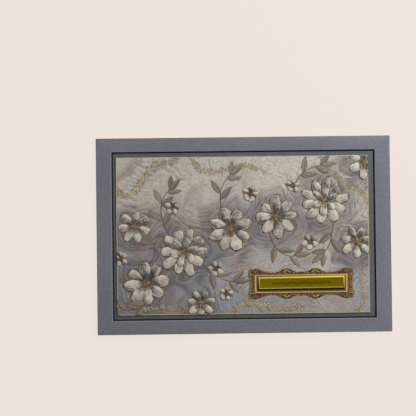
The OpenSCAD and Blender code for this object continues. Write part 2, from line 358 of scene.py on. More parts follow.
def setLight():
    lamp = bpy.data.lights.new("keyLamp", "AREA")
    lamp.shape = "DISK"
    lamp.size = studio["keySize"]
    lamp.energy = studio["keyPower"]
    key = bpy.data.objects.new("keyLamp", lamp)
    key.location = studio["keySpot"]
    key.rotation_euler = (-Vector(studio["keySpot"])).to_track_quat("-Z", "Y").to_euler()
    bpy.context.collection.objects.link(key)
    world = bpy.data.worlds.new("studioSky")
    world.use_nodes = True
    tree = world.node_tree
    tree.nodes.clear()
    sky = addNode(tree, "Background", {0: (1, 1, 1), 1: studio["skyStrength"]})
    seen = addNode(tree, "Background", {0: studio["floorColour"], 1: 1.0})
    mixed = addNode(tree, "MixShader", {0: backdropRay(tree), 1: sky.outputs[0], 2: seen.outputs[0]})
    addNode(tree, "OutputWorld", {"Surface": mixed.outputs[0]})
    bpy.context.scene.world = world
    bpy.context.scene.view_settings.view_transform = "Standard"


setCamera()
setFloor()
setLight()
print("camera, floor and light are set")


# Effects that several finishes share

def makeGrainGroup():      # paper grain: fine specks and short fibres, with a slow drift of the colour
    tree, given, put = startGroup(
        "paperGrain",
        [("Colour", "Color", (0.5, 0.5, 0.5, 1)), ("Grain", "Float", 2400.0), ("Drift", "Float", 0.1)],
        [("Colour", "Color"), ("Height", "Float")])
    place = objectPlace(tree)
    specks = cloud(tree, place, given["Grain"], 3.0)[0]
    longWays = addNode(tree, "Mapping", {"Vector": place, "Scale": (0.45, 1.0, 1.0),
                                         "Rotation": (0.0, 0.0, 0.6)}).outputs[0]
    fibres = cloud(tree, longWays, 1500.0, 2.0, distortion=0.6)[0]
    height = times(tree, specks, fibres)
    slow = cloud(tree, place, 22.0, 4.0)[0]
    low = maths(tree, "SUBTRACT", 1.0, given["Drift"])
    high = plus(tree, 1.0, given["Drift"])
    drift = ramp(tree, slow, 0.3, 0.7, low, high, "LINEAR")
    mottle = ramp(tree, cloud(tree, place, 900.0, 1.0)[0], 0.3, 0.7, 0.93, 1.07)
    speckle = ramp(tree, height, 0.1, 0.42, 0.9, 1.1)
    shade = times(tree, times(tree, drift, mottle), speckle)
    tree.links.new(scaled(tree, given["Colour"], shade), put["Colour"])
    tree.links.new(height, put["Height"])
    return tree


def makeWearAndHighlightGroup():       # worn edges and painted highlight: sharp edges are painted lighter, unevenly, as wear and as a highlight
    tree, given, put = startGroup(
        "edgeWearAndHighlight",
        [("Colour", "Color", (0.5, 0.5, 0.5, 1)), ("WearAndHighlight", "Color", (0.8, 0.8, 0.8, 1)),
         ("Amount", "Float", 0.5)],
        [("Colour", "Color")])
    sharp = ramp(tree, pointiness(tree), 0.5, 0.56)
    patches = ramp(tree, cloud(tree, objectPlace(tree), 160.0, 4.0)[0], 0.3, 0.7, 0.4, 1.0)
    mask = times(tree, times(tree, sharp, patches), given["Amount"])
    tree.links.new(blend(tree, mask, given["Colour"], given["WearAndHighlight"]), put["Colour"])
    return tree


def makeGiltGroup():       # antique gilt: bright on the heights, on sharp edges and in punched dots, dark in the hollows; the dark is patina and painted shade, the bright rubbed gilt and painted highlight
    tree, given, put = startGroup(
        "giltPatinaAndShade",
        [("Deep", "Color", (0.05, 0.03, 0.02, 1)), ("Bright", "Color", (0.5, 0.35, 0.15, 1)),
         ("Floor", "Float", 0.0), ("Top", "Float", 0.001), ("Scale", "Float", 900.0),
         ("Punch", "Float", 0.0)],
        [("Colour", "Color"), ("Roughness", "Float"), ("Height", "Float")])
    place = objectPlace(tree)
    speckle = cloud(tree, place, given["Scale"], 4.0, 0.6)[0]
    rise = ramp(tree, axis(tree, place, "Z"), given["Floor"], given["Top"], 0.0, 1.0, "LINEAR")
    rubbedAndLit = times(tree, rise, ramp(tree, speckle, 0.3, 0.62, 0.5, 1.2))
    sharp = ramp(tree, pointiness(tree), 0.44, 0.58)
    mask = times(tree, rubbedAndLit, plus(tree, sharp, 0.35))
    dots = ramp(tree, cells(tree, place, 1250.0)["Distance"], 0.2, 0.55, 1.0, 0.0)
    mask = maths(tree, "MAXIMUM", mask, times(tree, dots, given["Punch"]))
    mask = addNode(tree, "Clamp", {0: mask}).outputs[0]
    tree.links.new(blend(tree, mask, given["Deep"], given["Bright"]), put["Colour"])
    tree.links.new(ramp(tree, mask, 0.0, 1.0, 0.75, 0.38), put["Roughness"])
    tree.links.new(speckle, put["Height"])
    return tree


def makeStreakGroup():     # painted streaks along a petal or leaf, and its frayed outline
    tree, given, put = startGroup(
        "paintedStreaks",
        [("Place", "Vector", None), ("Count", "Float", 9.0), ("Wander", "Float", 0.05)],
        [("Streaks", "Float"), ("Rim", "Float"), ("Along", "Float"), ("Across", "Float")])
    bend = cloud(tree, objectPlace(tree), 260.0, 3.0)[0]
    parts = addNode(tree, "SeparateXYZ", {0: given["Place"]}).outputs
    across = plus(tree, parts["Y"], times(tree, bend, given["Wander"]))
    wave = maths(tree, "SINE", times(tree, across, times(tree, given["Count"], 2 * math.pi)))
    sideGap = maths(tree, "SUBTRACT", 0.5, fromMiddle(tree, parts["Y"], 0.5))
    tipGap = times(tree, maths(tree, "SUBTRACT", 1.0, parts["X"]), 1.4)
    frayed = ramp(tree, bend, 0.35, 0.65, -0.02, 0.035)
    edge = plus(tree, maths(tree, "MINIMUM", sideGap, tipGap), frayed)
    tree.links.new(ramp(tree, wave, -1.0, 1.0), put["Streaks"])
    tree.links.new(ramp(tree, edge, 0.06, 0.2, 1.0, 0.0), put["Rim"])
    tree.links.new(parts["X"], put["Along"])
    tree.links.new(parts["Y"], put["Across"])
    return tree


def makeLightGroup():      # painted light and shade: slopes that face the upper right are painted paler, slopes that face away darker
    tree, given, put = startGroup("paintedSlopeLight", [("Gain", "Float", 3.0)], [("Light", "Float")])
    slope = dot(tree, addNode(tree, "NewGeometry").outputs["Normal"], (0.62, 0.66, 0.0))
    tree.links.new(ramp(tree, times(tree, slope, given["Gain"]), -1.0, 1.0, -1.0, 1.0), put["Light"])
    return tree


paperGrain = makeGrainGroup()
paintedSlopeLight = makeLightGroup()
edgeWearAndHighlight = makeWearAndHighlightGroup()
giltPatinaAndShade = makeGiltGroup()
paintedStreaks = makeStreakGroup()


# Wrapped boards and mat

boards = {
    "cornerRound": 0.6 * mm, "edgeRound": 0.3 * mm, "windowRound": 0.6 * mm, "windowGap": 0.9 * mm,
    "slate": (0.170, 0.177, 0.202), "slateWearAndHighlight": (0.33, 0.33, 0.37), "slateLipHighlight": (0.235, 0.238, 0.275),
    "shadedEdge": (0.032, 0.032, 0.035), "charcoal": (0.089, 0.096, 0.097), "charcoalWearAndHighlight": (0.2, 0.2, 0.2),
    "slateGrain": 2600.0, "slateDepth": 0.02 * mm, "charcoalGrain": 1900.0, "charcoalDepth": 0.03 * mm,
}
matLow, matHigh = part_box("mat_panel")
windowHalf = (matHigh - matLow) / 2 + Vector((boards["windowGap"], boards["windowGap"], 0))


def boardFinish(name, colour, wearAndHighlight, amount, grain=1500.0, depth=0.02 * mm):
    material, tree = startMaterial(name)
    paper = useGroup(tree, paperGrain, {"Colour": colour, "Grain": grain, "Drift": 0.06})
    # sharp edges are painted lighter, as wear and as a painted highlight
    rubbedAndLit = useGroup(tree, edgeWearAndHighlight, {"Colour": paper["Colour"], "WearAndHighlight": wearAndHighlight, "Amount": amount})
    endMaterial(tree, Base_Color=rubbedAndLit["Colour"], Roughness=0.78, Specular_IOR_Level=0.3,
                Normal=bump(tree, paper["Height"], depth))
    return material


def slateFinish(name, colour, wearAndHighlight, amount):
    return boardFinish(name, colour, wearAndHighlight, amount, boards["slateGrain"], boards["slateDepth"])


def solidBoard(low, high, cornerRound, edgeRound):     # a board with rounded corners and softened edges
    bpy.ops.mesh.primitive_cube_add(size=1, location=(low + high) / 2, scale=high - low)
    board = bpy.context.object
    applyPlace()
    editPiece(board)
    pick("edges", isUpright)
    bpy.ops.mesh.bevel(offset=cornerRound, segments=4)
    pick("edges", lambda edge: not isUpright(edge))
    bpy.ops.mesh.bevel(offset=edgeRound, segments=3)
    leaveEdit()
    smoothBy(board, 40)
    return board


def makeBackBoard(finish, dark):         # its top is painted dark as shadow where it shows in the groove round the mat
    low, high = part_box("back_board")
    board = solidBoard(low, high, boards["cornerRound"], boards["edgeRound"])
    board.data.materials.append(finish)

    def isInWindow(face):
        middle = face.calc_center_median()
        return face.normal.z > 0.9 and abs(middle.x) < windowHalf.x and abs(middle.y) < windowHalf.y

    editPiece(board)
    for x, y in fourWays:
        pick("faces", lambda face: face.normal.z > 0.9)
        bpy.ops.mesh.bisect(plane_co=(x * windowHalf.x, y * windowHalf.y, 0), plane_no=(x, y, 0))
    pick("faces", isInWindow)
    paint(dark)
    leaveEdit()
    handOver(board, "backBoard", ["back_board"])


def makeFrameBoard(finish, lipHighlight, dark):
    low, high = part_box("window_frame")
    margin = 1 * mm
    outer = windowHalf.x + margin

    def isFold(edge):
        return not isUpright(edge) and edge.calc_face_angle(0) > 1

    def isByWindow(face):
        middle = face.calc_center_median()
        return abs(middle.x) < outer and abs(middle.y) < windowHalf.y + margin

    bpy.ops.mesh.primitive_plane_add(size=1, location=(0, 0, low.z))
    board = bpy.context.object
    board.scale = high - low
    applyPlace()
    board.data.materials.append(finish)
    editPiece(board)
    selectAll()
    bpy.ops.mesh.inset(thickness=margin)
    inner = (high - low) / 2 - Vector((margin, margin, 0))
    bpy.ops.transform.resize(value=(windowHalf.x / inner.x, windowHalf.y / inner.y, 1),
                             center_override=(0, 0, low.z))
    bpy.ops.mesh.delete(type="FACE")
    selectAll()
    extrudeUp(high.z - low.z)
    pick("edges", lambda edge: isUpright(edge) and abs(edge.verts[0].co.x) > outer)
    bpy.ops.mesh.bevel(offset=boards["cornerRound"], segments=4)
    pick("edges", lambda edge: isFold(edge) and abs(edge.verts[0].co.x) > outer)
    bpy.ops.mesh.bevel(offset=boards["edgeRound"], segments=3)
    pick("edges", lambda edge: isFold(edge) and abs(edge.verts[0].co.x) < outer and (
        edge.verts[0].co.z > high.z - 0.01 * mm))
    bpy.ops.mesh.bevel(offset=boards["windowRound"], segments=4)
    faceOutwards()
    # the window's rounded lip is painted paler, as a painted highlight
    pick("faces", lambda face: 0.1 < face.normal.z < 0.995 and isByWindow(face))
    paint(lipHighlight)
    # the window's inner walls are painted dark, as painted shade
    pick("faces", lambda face: abs(face.normal.z) < 0.1 and isByWindow(face))
    paint(dark)
    leaveEdit()
    smoothBy(board, 40)
    handOver(board, "frameBoard", ["window_frame"])


def makeMatBoard(finish):
    board = solidBoard(matLow, matHigh, boards["cornerRound"] / 2, boards["edgeRound"] / 2)
    handOver(board, "matBoard", ["mat_panel"], finish)


slatePaper = slateFinish("slatePaper", boards["slate"], boards["slateWearAndHighlight"], 0.5)
shadedEdge = slateFinish("shadedEdge", boards["shadedEdge"], boards["shadedEdge"], 0.0)
makeBackBoard(slatePaper, shadedEdge)
slateLipHighlight = slateFinish("slateLipHighlight", boards["slateLipHighlight"], boards["slateWearAndHighlight"], 0.5)
makeFrameBoard(slatePaper, slateLipHighlight, shadedEdge)
makeMatBoard(boardFinish("charcoalBoard", boards["charcoal"], boards["charcoalWearAndHighlight"], 0.5,
                         boards["charcoalGrain"], boards["charcoalDepth"]))
print("boards are done")


# The art card: a garland of blossoms on marbled paper. In the garland, radius, leaves, stems and centres are
# in mm, turns in degrees, and the petals' widths are shares of their length.

garland = {
    "blossoms": [      # place as shares of the print's half sizes, radius mm, petals, turn, inner petals
        [-0.77, -0.60, 19, 8, 8, 0], [-0.47, -0.20, 21, 10, 0, 6], [-0.10, 0.07, 19, 8, 20, 0],
        [0.27, 0.22, 18, 8, 3, 0], [0.65, 0.42, 20, 10, 10, 6], [0.90, -0.10, 14, 7, 12, 0],
        [-0.86, 0.12, 14, 7, 30, 0], [-0.34, -0.86, 12, 7, 15, 0], [0.98, 0.90, 15, 7, 0, 0]],
    "fillers": [       # small blossoms with five petals: place, radius mm, turn
        [-0.56, 0.36, 6.5, 10], [-0.22, -0.42, 7, 40], [0.06, 0.52, 7, 0], [0.53, -0.10, 7, 50],
        [0.40, 0.62, 6, 15], [-0.97, -0.28, 6.5, 33], [-0.14, -0.74, 6, 5]],
    "stems": [         # start, pull and end of each curve, and pairs of leaves
        [(-0.70, -0.72), (-0.80, -0.98), (-1.00, -0.92), 2],
        [(-0.56, -0.06), (-0.74, 0.40), (-0.55, 0.62), 3],
        [(-0.14, 0.20), (-0.24, 0.62), (-0.06, 0.80), 2],
        [(-0.36, -0.28), (-0.20, -0.62), (-0.05, -0.58), 2],
        [(0.20, 0.08), (0.26, -0.34), (0.44, -0.26), 2],
        [(0.41, 0.60), (0.46, 0.86), (0.66, 0.88), 2],
        [(0.72, 0.26), (0.72, -0.16), (0.62, -0.26), 2],
        [(-0.80, -0.45), (-0.62, -0.20), (-0.76, -0.02), 1]],
    "singleWidth": 0.54, "doubleWidth": 0.44, "fillerWidth": 0.85, "innerReach": 0.62, "innerTurn": 12,
    "lowerPetal": 0.94, "leafLength": 15, "leafWidth": 5.6, "leafSplay": 42, "stemWidth": 1.1,
    "centreRadius": 3.6, "fillerCentre": 0.42,
}
veins = {
    "paths": [         # four points of each curve as shares of the print's half sizes, and its width in mm
        [(-1.00, 0.60), (-0.80, 0.30), (-0.86, 0.96), (-0.52, 0.96), 1.8],
        [(-0.40, 1.00), (-0.30, 0.55), (-0.02, 1.06), (0.18, 0.80), 1.4],
        [(0.62, 1.00), (0.70, 0.70), (0.94, 0.62), (1.00, 0.40), 1.4],
        [(-1.00, -0.84), (-0.72, -1.02), (-0.62, -0.80), (-0.44, -1.00), 1.6],
        [(-0.10, -1.00), (0.02, -0.70), (0.20, -1.00), (0.44, -0.92), 1.8],
        [(0.96, -0.40), (0.90, -0.62), (1.02, -0.74), (0.90, -1.00), 1.4]],
    "clumps": 40, "clumpGrains": 11, "grainSize": 0.15, "gap": 0.3 * mm, "laceReach": 2.6, "laceSteps": 30,
    "grainRise": 1.2 * mm,
}
artCard = {
    "columns": 360, "rows": 225, "softJoin": 6 * mm, "blossomShare": 0.8, "edgeFade": 2 * mm,
    "swirlLength": 3.8 * mm, "swirlRise": 0.13 * mm, "wander": 34 * mm, "calm": 0.2, "nearReach": 20 * mm,
    "warps": [(9 * mm, 30 * mm, 3.1, 5.3), (4 * mm, 10 * mm, 7.7, 1.9)],       # size, wave and seeds
    "shadowOffset": (-1.8 * mm, -2.6 * mm), "shadowReach": 1.6875, "shadowSoft": 0.7,
    "giltEdge": (0.42, 0.36, 0.25), "giltWearAndHighlight": (0.62, 0.52, 0.34),
}
printLow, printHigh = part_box("print_panel")
printMiddle = (printLow + printHigh) / 2
printHalf = (printHigh - printLow) / 2
artZ = printHigh.z


def onPrint(x, y):             # the point on the paper at two shares of the print's half sizes
    return Vector((printMiddle.x + x * printHalf.x, printMiddle.y + y * printHalf.y, artZ))


def cubicPoint(points, t):
    a, b, c, d = [onPrint(x, y) for x, y in points]
    return a * (1 - t) ** 3 + b * 3 * t * (1 - t) ** 2 + c * 3 * t * t * (1 - t) + d * t ** 3


def blossomReach(x, y):       # how far a point lies outside the nearest blossom, with soft joins between them
    total = np.zeros_like(x)
    for shareX, shareY, radius, *rest in garland["blossoms"]:
        spot = onPrint(shareX, shareY)
        gap = np.hypot(x - spot.x, y - spot.y) - artCard["blossomShare"] * radius * mm
        total += np.exp(-gap / artCard["softJoin"])
    return -artCard["softJoin"] * np.log(total)


def blossomShade(x, y):       # painted shadow on the ground below and to the left of each blossom
    shade = np.zeros_like(x)
    offsetX, offsetY = artCard["shadowOffset"]
    for shareX, shareY, radius, *rest in garland["blossoms"]:
        spot = onPrint(shareX, shareY)
        gap = np.hypot(x - spot.x - offsetX, y - spot.y - offsetY) / (radius * mm)
        near = np.clip(artCard["shadowReach"] - gap, 0, artCard["shadowSoft"]) / artCard["shadowSoft"]
        shade = np.maximum(shade, near * near * (3 - 2 * near))
    return shade


def noiseAt(x, y, wave, seed):
    scaledUp = zip(x / wave, y / wave)
    return np.array([noise.noise(Vector((a, b, seed))) for a, b in scaledUp])


def swirlField(x, y):         # flow lines that run round the blossoms and wander between them
    bend = artCard["wander"]
    warpX, warpY = x, y
    for size, wave, seedX, seedY in artCard["warps"]:
        warpX = warpX + size * noiseAt(x, y, wave, seedX)
        warpY = warpY + size * noiseAt(x, y, wave, seedY)
    level = blossomReach(warpX, warpY) + bend * 0.6 * noiseAt(warpX, warpY, bend, 11.5)
    phase = level / artCard["swirlLength"] * 2 * math.pi
    lines = 0.7 * np.sin(phase + 1.6 * np.sin(0.37 * phase)) + 0.3 * noiseAt(warpX, warpY, 3 * mm, 4.4)
    strength = np.clip((noiseAt(x, y, 22 * mm, 21.0) + artCard["calm"]) * 2.2, 0.15, 0.8)
    near = np.clip(1.1 - blossomReach(x, y) / artCard["nearReach"], 0, 1)
    return lines, np.maximum(strength, near)


def laceField(x, y):          # one along the middle of a gilt vein, nought beyond its reach
    lace = np.zeros_like(x)
    for *points, width in veins["paths"]:
        for k in range(veins["laceSteps"] + 1):
            spot = cubicPoint(points, k / veins["laceSteps"])
            gap = np.hypot(x - spot.x, y - spot.y) / (veins["laceReach"] * width * mm)
            lace = np.maximum(lace, np.clip(1 - gap, 0, 1))
    return lace


def makeArtCard(finish, edge):
    bpy.ops.mesh.primitive_grid_add(x_subdivisions=artCard["columns"], y_subdivisions=artCard["rows"],
                                    size=1, location=(printMiddle.x, printMiddle.y, artZ))
    card = bpy.context.object
    card.scale = (printHigh.x - printLow.x, printHigh.y - printLow.y, 1)
    applyPlace()
    spots = np.zeros(len(card.data.vertices) * 3)
    card.data.vertices.foreach_get("co", spots)
    spots = spots.reshape(-1, 3)
    x, y = spots[:, 0], spots[:, 1]
    lines, strength = swirlField(x, y)
    shade = blossomShade(x, y) * (0.55 + 0.9 * np.clip(noiseAt(x, y, 12 * mm, 33.0) + 0.5, 0, 0.5))
    margin = np.minimum(printHalf.x - abs(x - printMiddle.x), printHalf.y - abs(y - printMiddle.y))
    fade = np.clip(margin / artCard["edgeFade"], 0, 1)
    spots[:, 2] += artCard["swirlRise"] * lines * strength * fade
    card.data.vertices.foreach_set("co", spots.ravel())
    for name, values in (("swirl", lines * strength), ("shade", shade), ("lace", laceField(x, y))):
        attribute = card.data.attributes.new(name, "FLOAT", "POINT")
        attribute.data.foreach_set("value", values.astype(np.float32))
    card.data.materials.append(finish)
    editPiece(card)
    pick("faces", lambda face: any(vert.is_boundary for vert in face.verts))
    paint(edge)
    pick("edges", lambda line: line.is_boundary)
    extrudeUp(printLow.z - printHigh.z)
    bpy.ops.mesh.edge_face_add()
    faceOutwards()
    pick("faces", lambda face: abs(face.normal.z) < 0.5)
    paint(edge)
    leaveEdit()
    smoothBy(card, 40)
    handOver(card, "artCard", ["print_panel"])


marble = {
    "grey": (0.335, 0.335, 0.342), "cream": (0.52, 0.482, 0.415), "mauve": (0.345, 0.275, 0.25),
    "contour": (0.16, 0.135, 0.12), "crest": (0.54, 0.50, 0.43), "troughShade": (0.12, 0.10, 0.095),
    "goldDark": (0.20, 0.155, 0.105), "goldPale": (0.60, 0.52, 0.36), "shadow": (0.085, 0.082, 0.09),
    "creamWay": (0.5, 4.2, 0.0), "lightWay": (2.2, 2.6, 0.0), "warp": 0.07, "dots": 1150.0,
    "contours": 0.38, "shading": 0.6, "slopeLightShare": 0.42, "grain": 2600.0,
}


def marbleFinish():
    material, tree = startMaterial("marbledPaper")
    place = objectPlace(tree)
    swirl, shade, lace = [painted(tree, name) for name in ("swirl", "shade", "lace")]
    shift = addNode(tree, "VectorMath", {0: cloud(tree, place, 17.0, 3.0)["Color"], 1: (0.5, 0.5, 0.5)},
                    operation="SUBTRACT").outputs[0]
    bent = addNode(tree, "VectorMath", {0: place, 1: scaled(tree, shift, marble["warp"])},
                   operation="ADD").outputs[0]
    hue = ramp(tree, cloud(tree, bent, 20.0, 2.0)[0], 0.3, 0.7, 0.36, 0.66)
    tone = plus(tree, hue, dot(tree, place, marble["creamWay"]))
    warm = cloud(tree, bent, 31.0, 3.0, distortion=0.8)[0]
    vein = cloud(tree, bent, 75.0, 6.0, 0.66, 1.8)[0]
    colour = blend(tree, ramp(tree, tone, 0.34, 0.66), marble["grey"], marble["cream"])
    colour = blend(tree, ramp(tree, warm, 0.48, 0.68, 0.0, 0.8), colour, marble["mauve"])
    thin = ramp(tree, fromMiddle(tree, vein, 0.5), 0.0, 0.03, 1.0, 0.0)
    colour = blend(tree, times(tree, thin, marble["contours"]), colour, marble["contour"])
    # painted light and shade on the swirl relief: its crests are painted pale, its troughs dark
    colour = blend(tree, ramp(tree, swirl, 0.2, 0.9, 0.0, 0.62), colour, marble["crest"])
    colour = blend(tree, ramp(tree, swirl, -0.85, -0.25, 0.72, 0.0), colour, marble["troughShade"])
    dots = ramp(tree, cells(tree, place, marble["dots"])["Distance"], 0.25, 0.6, 1.0, 0.0)
    broken = ramp(tree, cloud(tree, place, 210.0, 4.0)[0], 0.3, 0.7, -0.5, 0.4)
    lacy = ramp(tree, plus(tree, lace, broken), 0.1, 0.5, 0.0, 0.85)
    lacy = times(tree, lacy, ramp(tree, lace, 0.02, 0.25))
    colour = blend(tree, lacy, colour, blend(tree, dots, marble["goldDark"], marble["goldPale"]))
    # painted light: the paper is painted paler towards the upper right and darker towards the lower left, and
    # its slopes paler where they face the upper right
    light = ramp(tree, dot(tree, place, marble["lightWay"]), -0.5, 0.5, 0.78, 1.12, "LINEAR")
    slopeLight = useGroup(tree, paintedSlopeLight, {"Gain": 2.2})["Light"]
    light = plus(tree, light, times(tree, slopeLight, marble["slopeLightShare"]))
    strokes = cloud(tree, bent, 380.0, 4.0, distortion=2.2)[0]
    light = times(tree, light, ramp(tree, strokes, 0.3, 0.7, 0.92, 1.08))
    colour = scaled(tree, colour, light)
    colour = blend(tree, times(tree, shade, marble["shading"]), colour, marble["shadow"])
    paper = useGroup(tree, paperGrain, {"Colour": colour, "Grain": marble["grain"], "Drift": 0.05})
    raised = plus(tree, vein, times(tree, lacy, dots))
    endMaterial(tree, Base_Color=paper["Colour"], Roughness=0.55, Specular_IOR_Level=0.3,
                Normal=bump(tree, raised, 0.3 * mm, 0.5))
    return material


# Blossoms, leaves and stems

# Rows along a petal or leaf and columns across it, where its belly lies, the widths of its foot and tip
# as shares of the belly's, the teeth and rounding of its tip, and how far one side is rolled up.
sheetKinds = {
    "notched": {"rows": 10, "columns": 6, "belly": 0.66, "foot": 0.22, "tip": 0.46, "teeth": 0.06,
                "round": 0.09, "roll": 0.15},
    "rolled": {"rows": 10, "columns": 6, "belly": 0.58, "foot": 0.24, "tip": 0.34, "teeth": 0.02,
               "round": 0.13, "roll": 0.85},
    "pointed": {"rows": 10, "columns": 6, "belly": 0.60, "foot": 0.20, "tip": 0.14, "teeth": 0.0,
                "round": 0.05, "roll": 0.4},
    "filler": {"rows": 8, "columns": 4, "belly": 0.62, "foot": 0.16, "tip": 0.30, "teeth": 0.0,
               "round": 0.12, "roll": 0.2},
    "leaf": {"rows": 9, "columns": 6, "belly": 0.40, "foot": 0.08, "tip": 0.04, "teeth": 0.0,
             "round": 0.04, "roll": 0.0},
}
relief = {
    "petalRise": 0.68 * mm, "petalEdge": 0.2 * mm, "fillerRise": 0.5 * mm, "leafRise": 0.34 * mm,
    "leafEdge": 0.12 * mm, "underSurround": 0.12 * mm, "root": -0.15 * mm, "tilt": 2.4, "leafTilt": 3,
    "waver": 0.75 * mm, "waverLength": 5.5 * mm, "lowerRing": 0.1 * mm, "upperRing": 0.25 * mm,
    "stemSteps": 14, "stemSink": 0.2 * mm,
}


def rowWidth(shape, along):      # share of the full width at a share of the length
    if along < shape["belly"]:
        swell = math.sin(along / shape["belly"] * math.pi / 2) ** 1.15
        return shape["foot"] + (1 - shape["foot"]) * swell
    past = (along - shape["belly"]) / (1 - shape["belly"])
    return 1 - (1 - shape["tip"]) * past ** 2.2


def makeSheet(kind):             # a petal or leaf one unit long and wide along +X, with a relief of one unit
    shape = sheetKinds[kind]
    rows, columns = shape["rows"], shape["columns"]
    bpy.ops.mesh.primitive_grid_add(x_subdivisions=rows, y_subdivisions=columns, size=1, location=(0.5, 0, 0))
    sheet = bpy.context.object
    applyPlace()
    sheet.data.uv_layers[0].name = "paintMap"
    editPiece(sheet)
    for column in range(columns + 1):      # a crown across the sheet with grooves, and one side rolled up
        side = 2 * column / columns - 1
        across = abs(side)
        groove = 0.18 if column % 2 and kind != "leaf" else 0
        rise = max(0, 1 - across ** 2.2 - groove) + shape["roll"] * max(0, side) ** 3
        pick("verts", lambda vert: vert.index // (rows + 1) == column)
        bpy.ops.transform.translate(value=(0, 0, rise))
        pick("verts", lambda vert: vert.index == column * (rows + 1) + rows)
        back = shape["round"] * across ** 2.5 + (0 if column % 2 else shape["teeth"]) * (across > 0.1)
        bpy.ops.transform.translate(value=(-back, 0, 0))
    for row in range(rows + 1):            # the outline, and a ridge that sinks to the foot and the tip
        along = row / rows
        sink = (0.35 + 0.65 * math.sin(min(1, along / 0.7) * math.pi / 2)) * (1 - 1.5 * max(0, along - 0.7))
        pick("verts", lambda vert: vert.index % (rows + 1) == row)
        bpy.ops.transform.resize(value=(1, rowWidth(shape, along), sink), center_override=(along, 0, 0))
    leaveEdit()
    return sheet


def placeSheet(sheet, spot, lift, size, turn, tilt, tone):       # a copy in its place, with a painted tone
    copied = copyOf(sheet, spot + Vector((0, 0, lift)), size, (math.radians(tilt), 0, math.radians(turn)))
    attribute = copied.data.attributes.new("tone", "FLOAT", "POINT")
    attribute.data.foreach_set("value", [tone] * len(copied.data.vertices))
    return copied


def petalRing(choice, spot, radius, petals, width, turn, lift, rise, dice):
    ring = []
    for k in range(petals):
        share = garland["lowerPetal"] if k % 2 else 1.0
        angle = turn + 360 * k / petals + dice.uniform(-3, 3)
        sunny = 0.46 - 0.36 * math.sin(math.radians(angle + 20))       # petals that hang down are painted palest, as painted light
        tone = min(1, max(0, sunny + dice.uniform(-0.26, 0.2)))
        flip = dice.choice((-1, 1))
        reach = radius * share * dice.uniform(0.93, 1.02) * mm
        size = (reach, flip * radius * width * dice.uniform(0.94, 1.1) * mm, rise * share)
        sunk = relief["lowerRing"] if k % 2 else 0
        ring.append(placeSheet(dice.choice(choice), spot, lift - sunk, size, angle,
                               relief["tilt"] * dice.uniform(-1, 1), tone))
    return ring


def trimToPrint(piece, closed=True):     # cuts off what hangs over the print's edges, and caps closed pieces
    editPiece(piece)
    for x, y in fourWays:
        edge = printMiddle + Vector((x * printHalf.x, y * printHalf.y, 0))
        selectAll()
        bpy.ops.mesh.bisect(plane_co=edge, plane_no=(x, y, 0), clear_outer=True)
    dropLooseParts()
    if closed:
        fillHoles()
    leaveEdit()


def waver(piece):                # loosens the outlines: each petal wanders by its own noise
    count = len(piece.data.vertices)
    spots = np.zeros(count * 3)
    tones = np.zeros(count)
    piece.data.vertices.foreach_get("co", spots)
    piece.data.attributes["tone"].data.foreach_get("value", tones)
    spots = spots.reshape(-1, 3)
    x, y = spots[:, 0].copy(), spots[:, 1].copy()
    wave = relief["waverLength"]
    for axisIndex, size in ((0, 1.0), (1, 1.0), (2, 0.28)):
        moved = [noise.noise(Vector((a / wave, b / wave, 40 * tone + 9 * axisIndex)))
                 for a, b, tone in zip(x, y, tones)]
        spots[:, axisIndex] += relief["waver"] * size * np.array(moved)
    piece.data.vertices.foreach_set("co", spots.ravel())


def rootSheets(piece):           # draws the borders of all sheets down into the paper and closes them below
    editPiece(piece)
    pick("edges", lambda edge: edge.is_boundary)
    extrudeUp(0)
    bpy.ops.transform.resize(value=(1, 1, 0), center_override=(0, 0, artZ + relief["root"]))
    fillHoles()
    dropLooseParts()
    faceOutwards()
    leaveEdit()


def roundOff(piece):
    addModifier(piece, "SUBSURF", levels=1, render_levels=1)


def makePetals(finish):
    dice = random.Random(5)
    sheets = {kind: makeSheet(kind) for kind in ("notched", "rolled", "pointed", "filler")}
    large = [sheets["notched"], sheets["rolled"], sheets["pointed"]]
    rise, edge = relief["petalRise"], relief["petalEdge"]
    petals = []
    for x, y, radius, count, turn, inner in garland["blossoms"]:
        spot = onPrint(x, y)
        width = garland["doubleWidth"] if inner else garland["singleWidth"]
        petals += petalRing(large, spot, radius, count, width, turn, edge, rise * (0.7 if inner else 1), dice)
        if inner:
            petals += petalRing(large, spot, radius * garland["innerReach"], inner, garland["singleWidth"],
                                turn + garland["innerTurn"], edge + relief["upperRing"], rise * 0.8, dice)
    for x, y, radius, turn in garland["fillers"]:
        petals += petalRing([sheets["filler"]], onPrint(x, y), radius, 5, garland["fillerWidth"], turn,
                            edge, relief["fillerRise"], dice)
    for sheet in sheets.values():
        bpy.data.objects.remove(sheet)
    piece = joinPieces(petals)
    waver(piece)
    trimToPrint(piece, closed=False)
    rootSheets(piece)
    roundOff(piece)
    activate(piece)
    bpy.ops.object.shade_smooth()
    handOver(piece, "blossomPetals", ["blossom_petals"], finish)


petalPaint = {
    "deepShade": (0.06, 0.045, 0.036), "slate": (0.21, 0.20, 0.20), "cream": (0.48, 0.435, 0.37),
    "white": (0.66, 0.60, 0.49), "glint": (0.62, 0.52, 0.33), "outline": (0.115, 0.075, 0.040),
    "strokes": 7.0, "wander": 0.2, "grain": 2600.0,
}


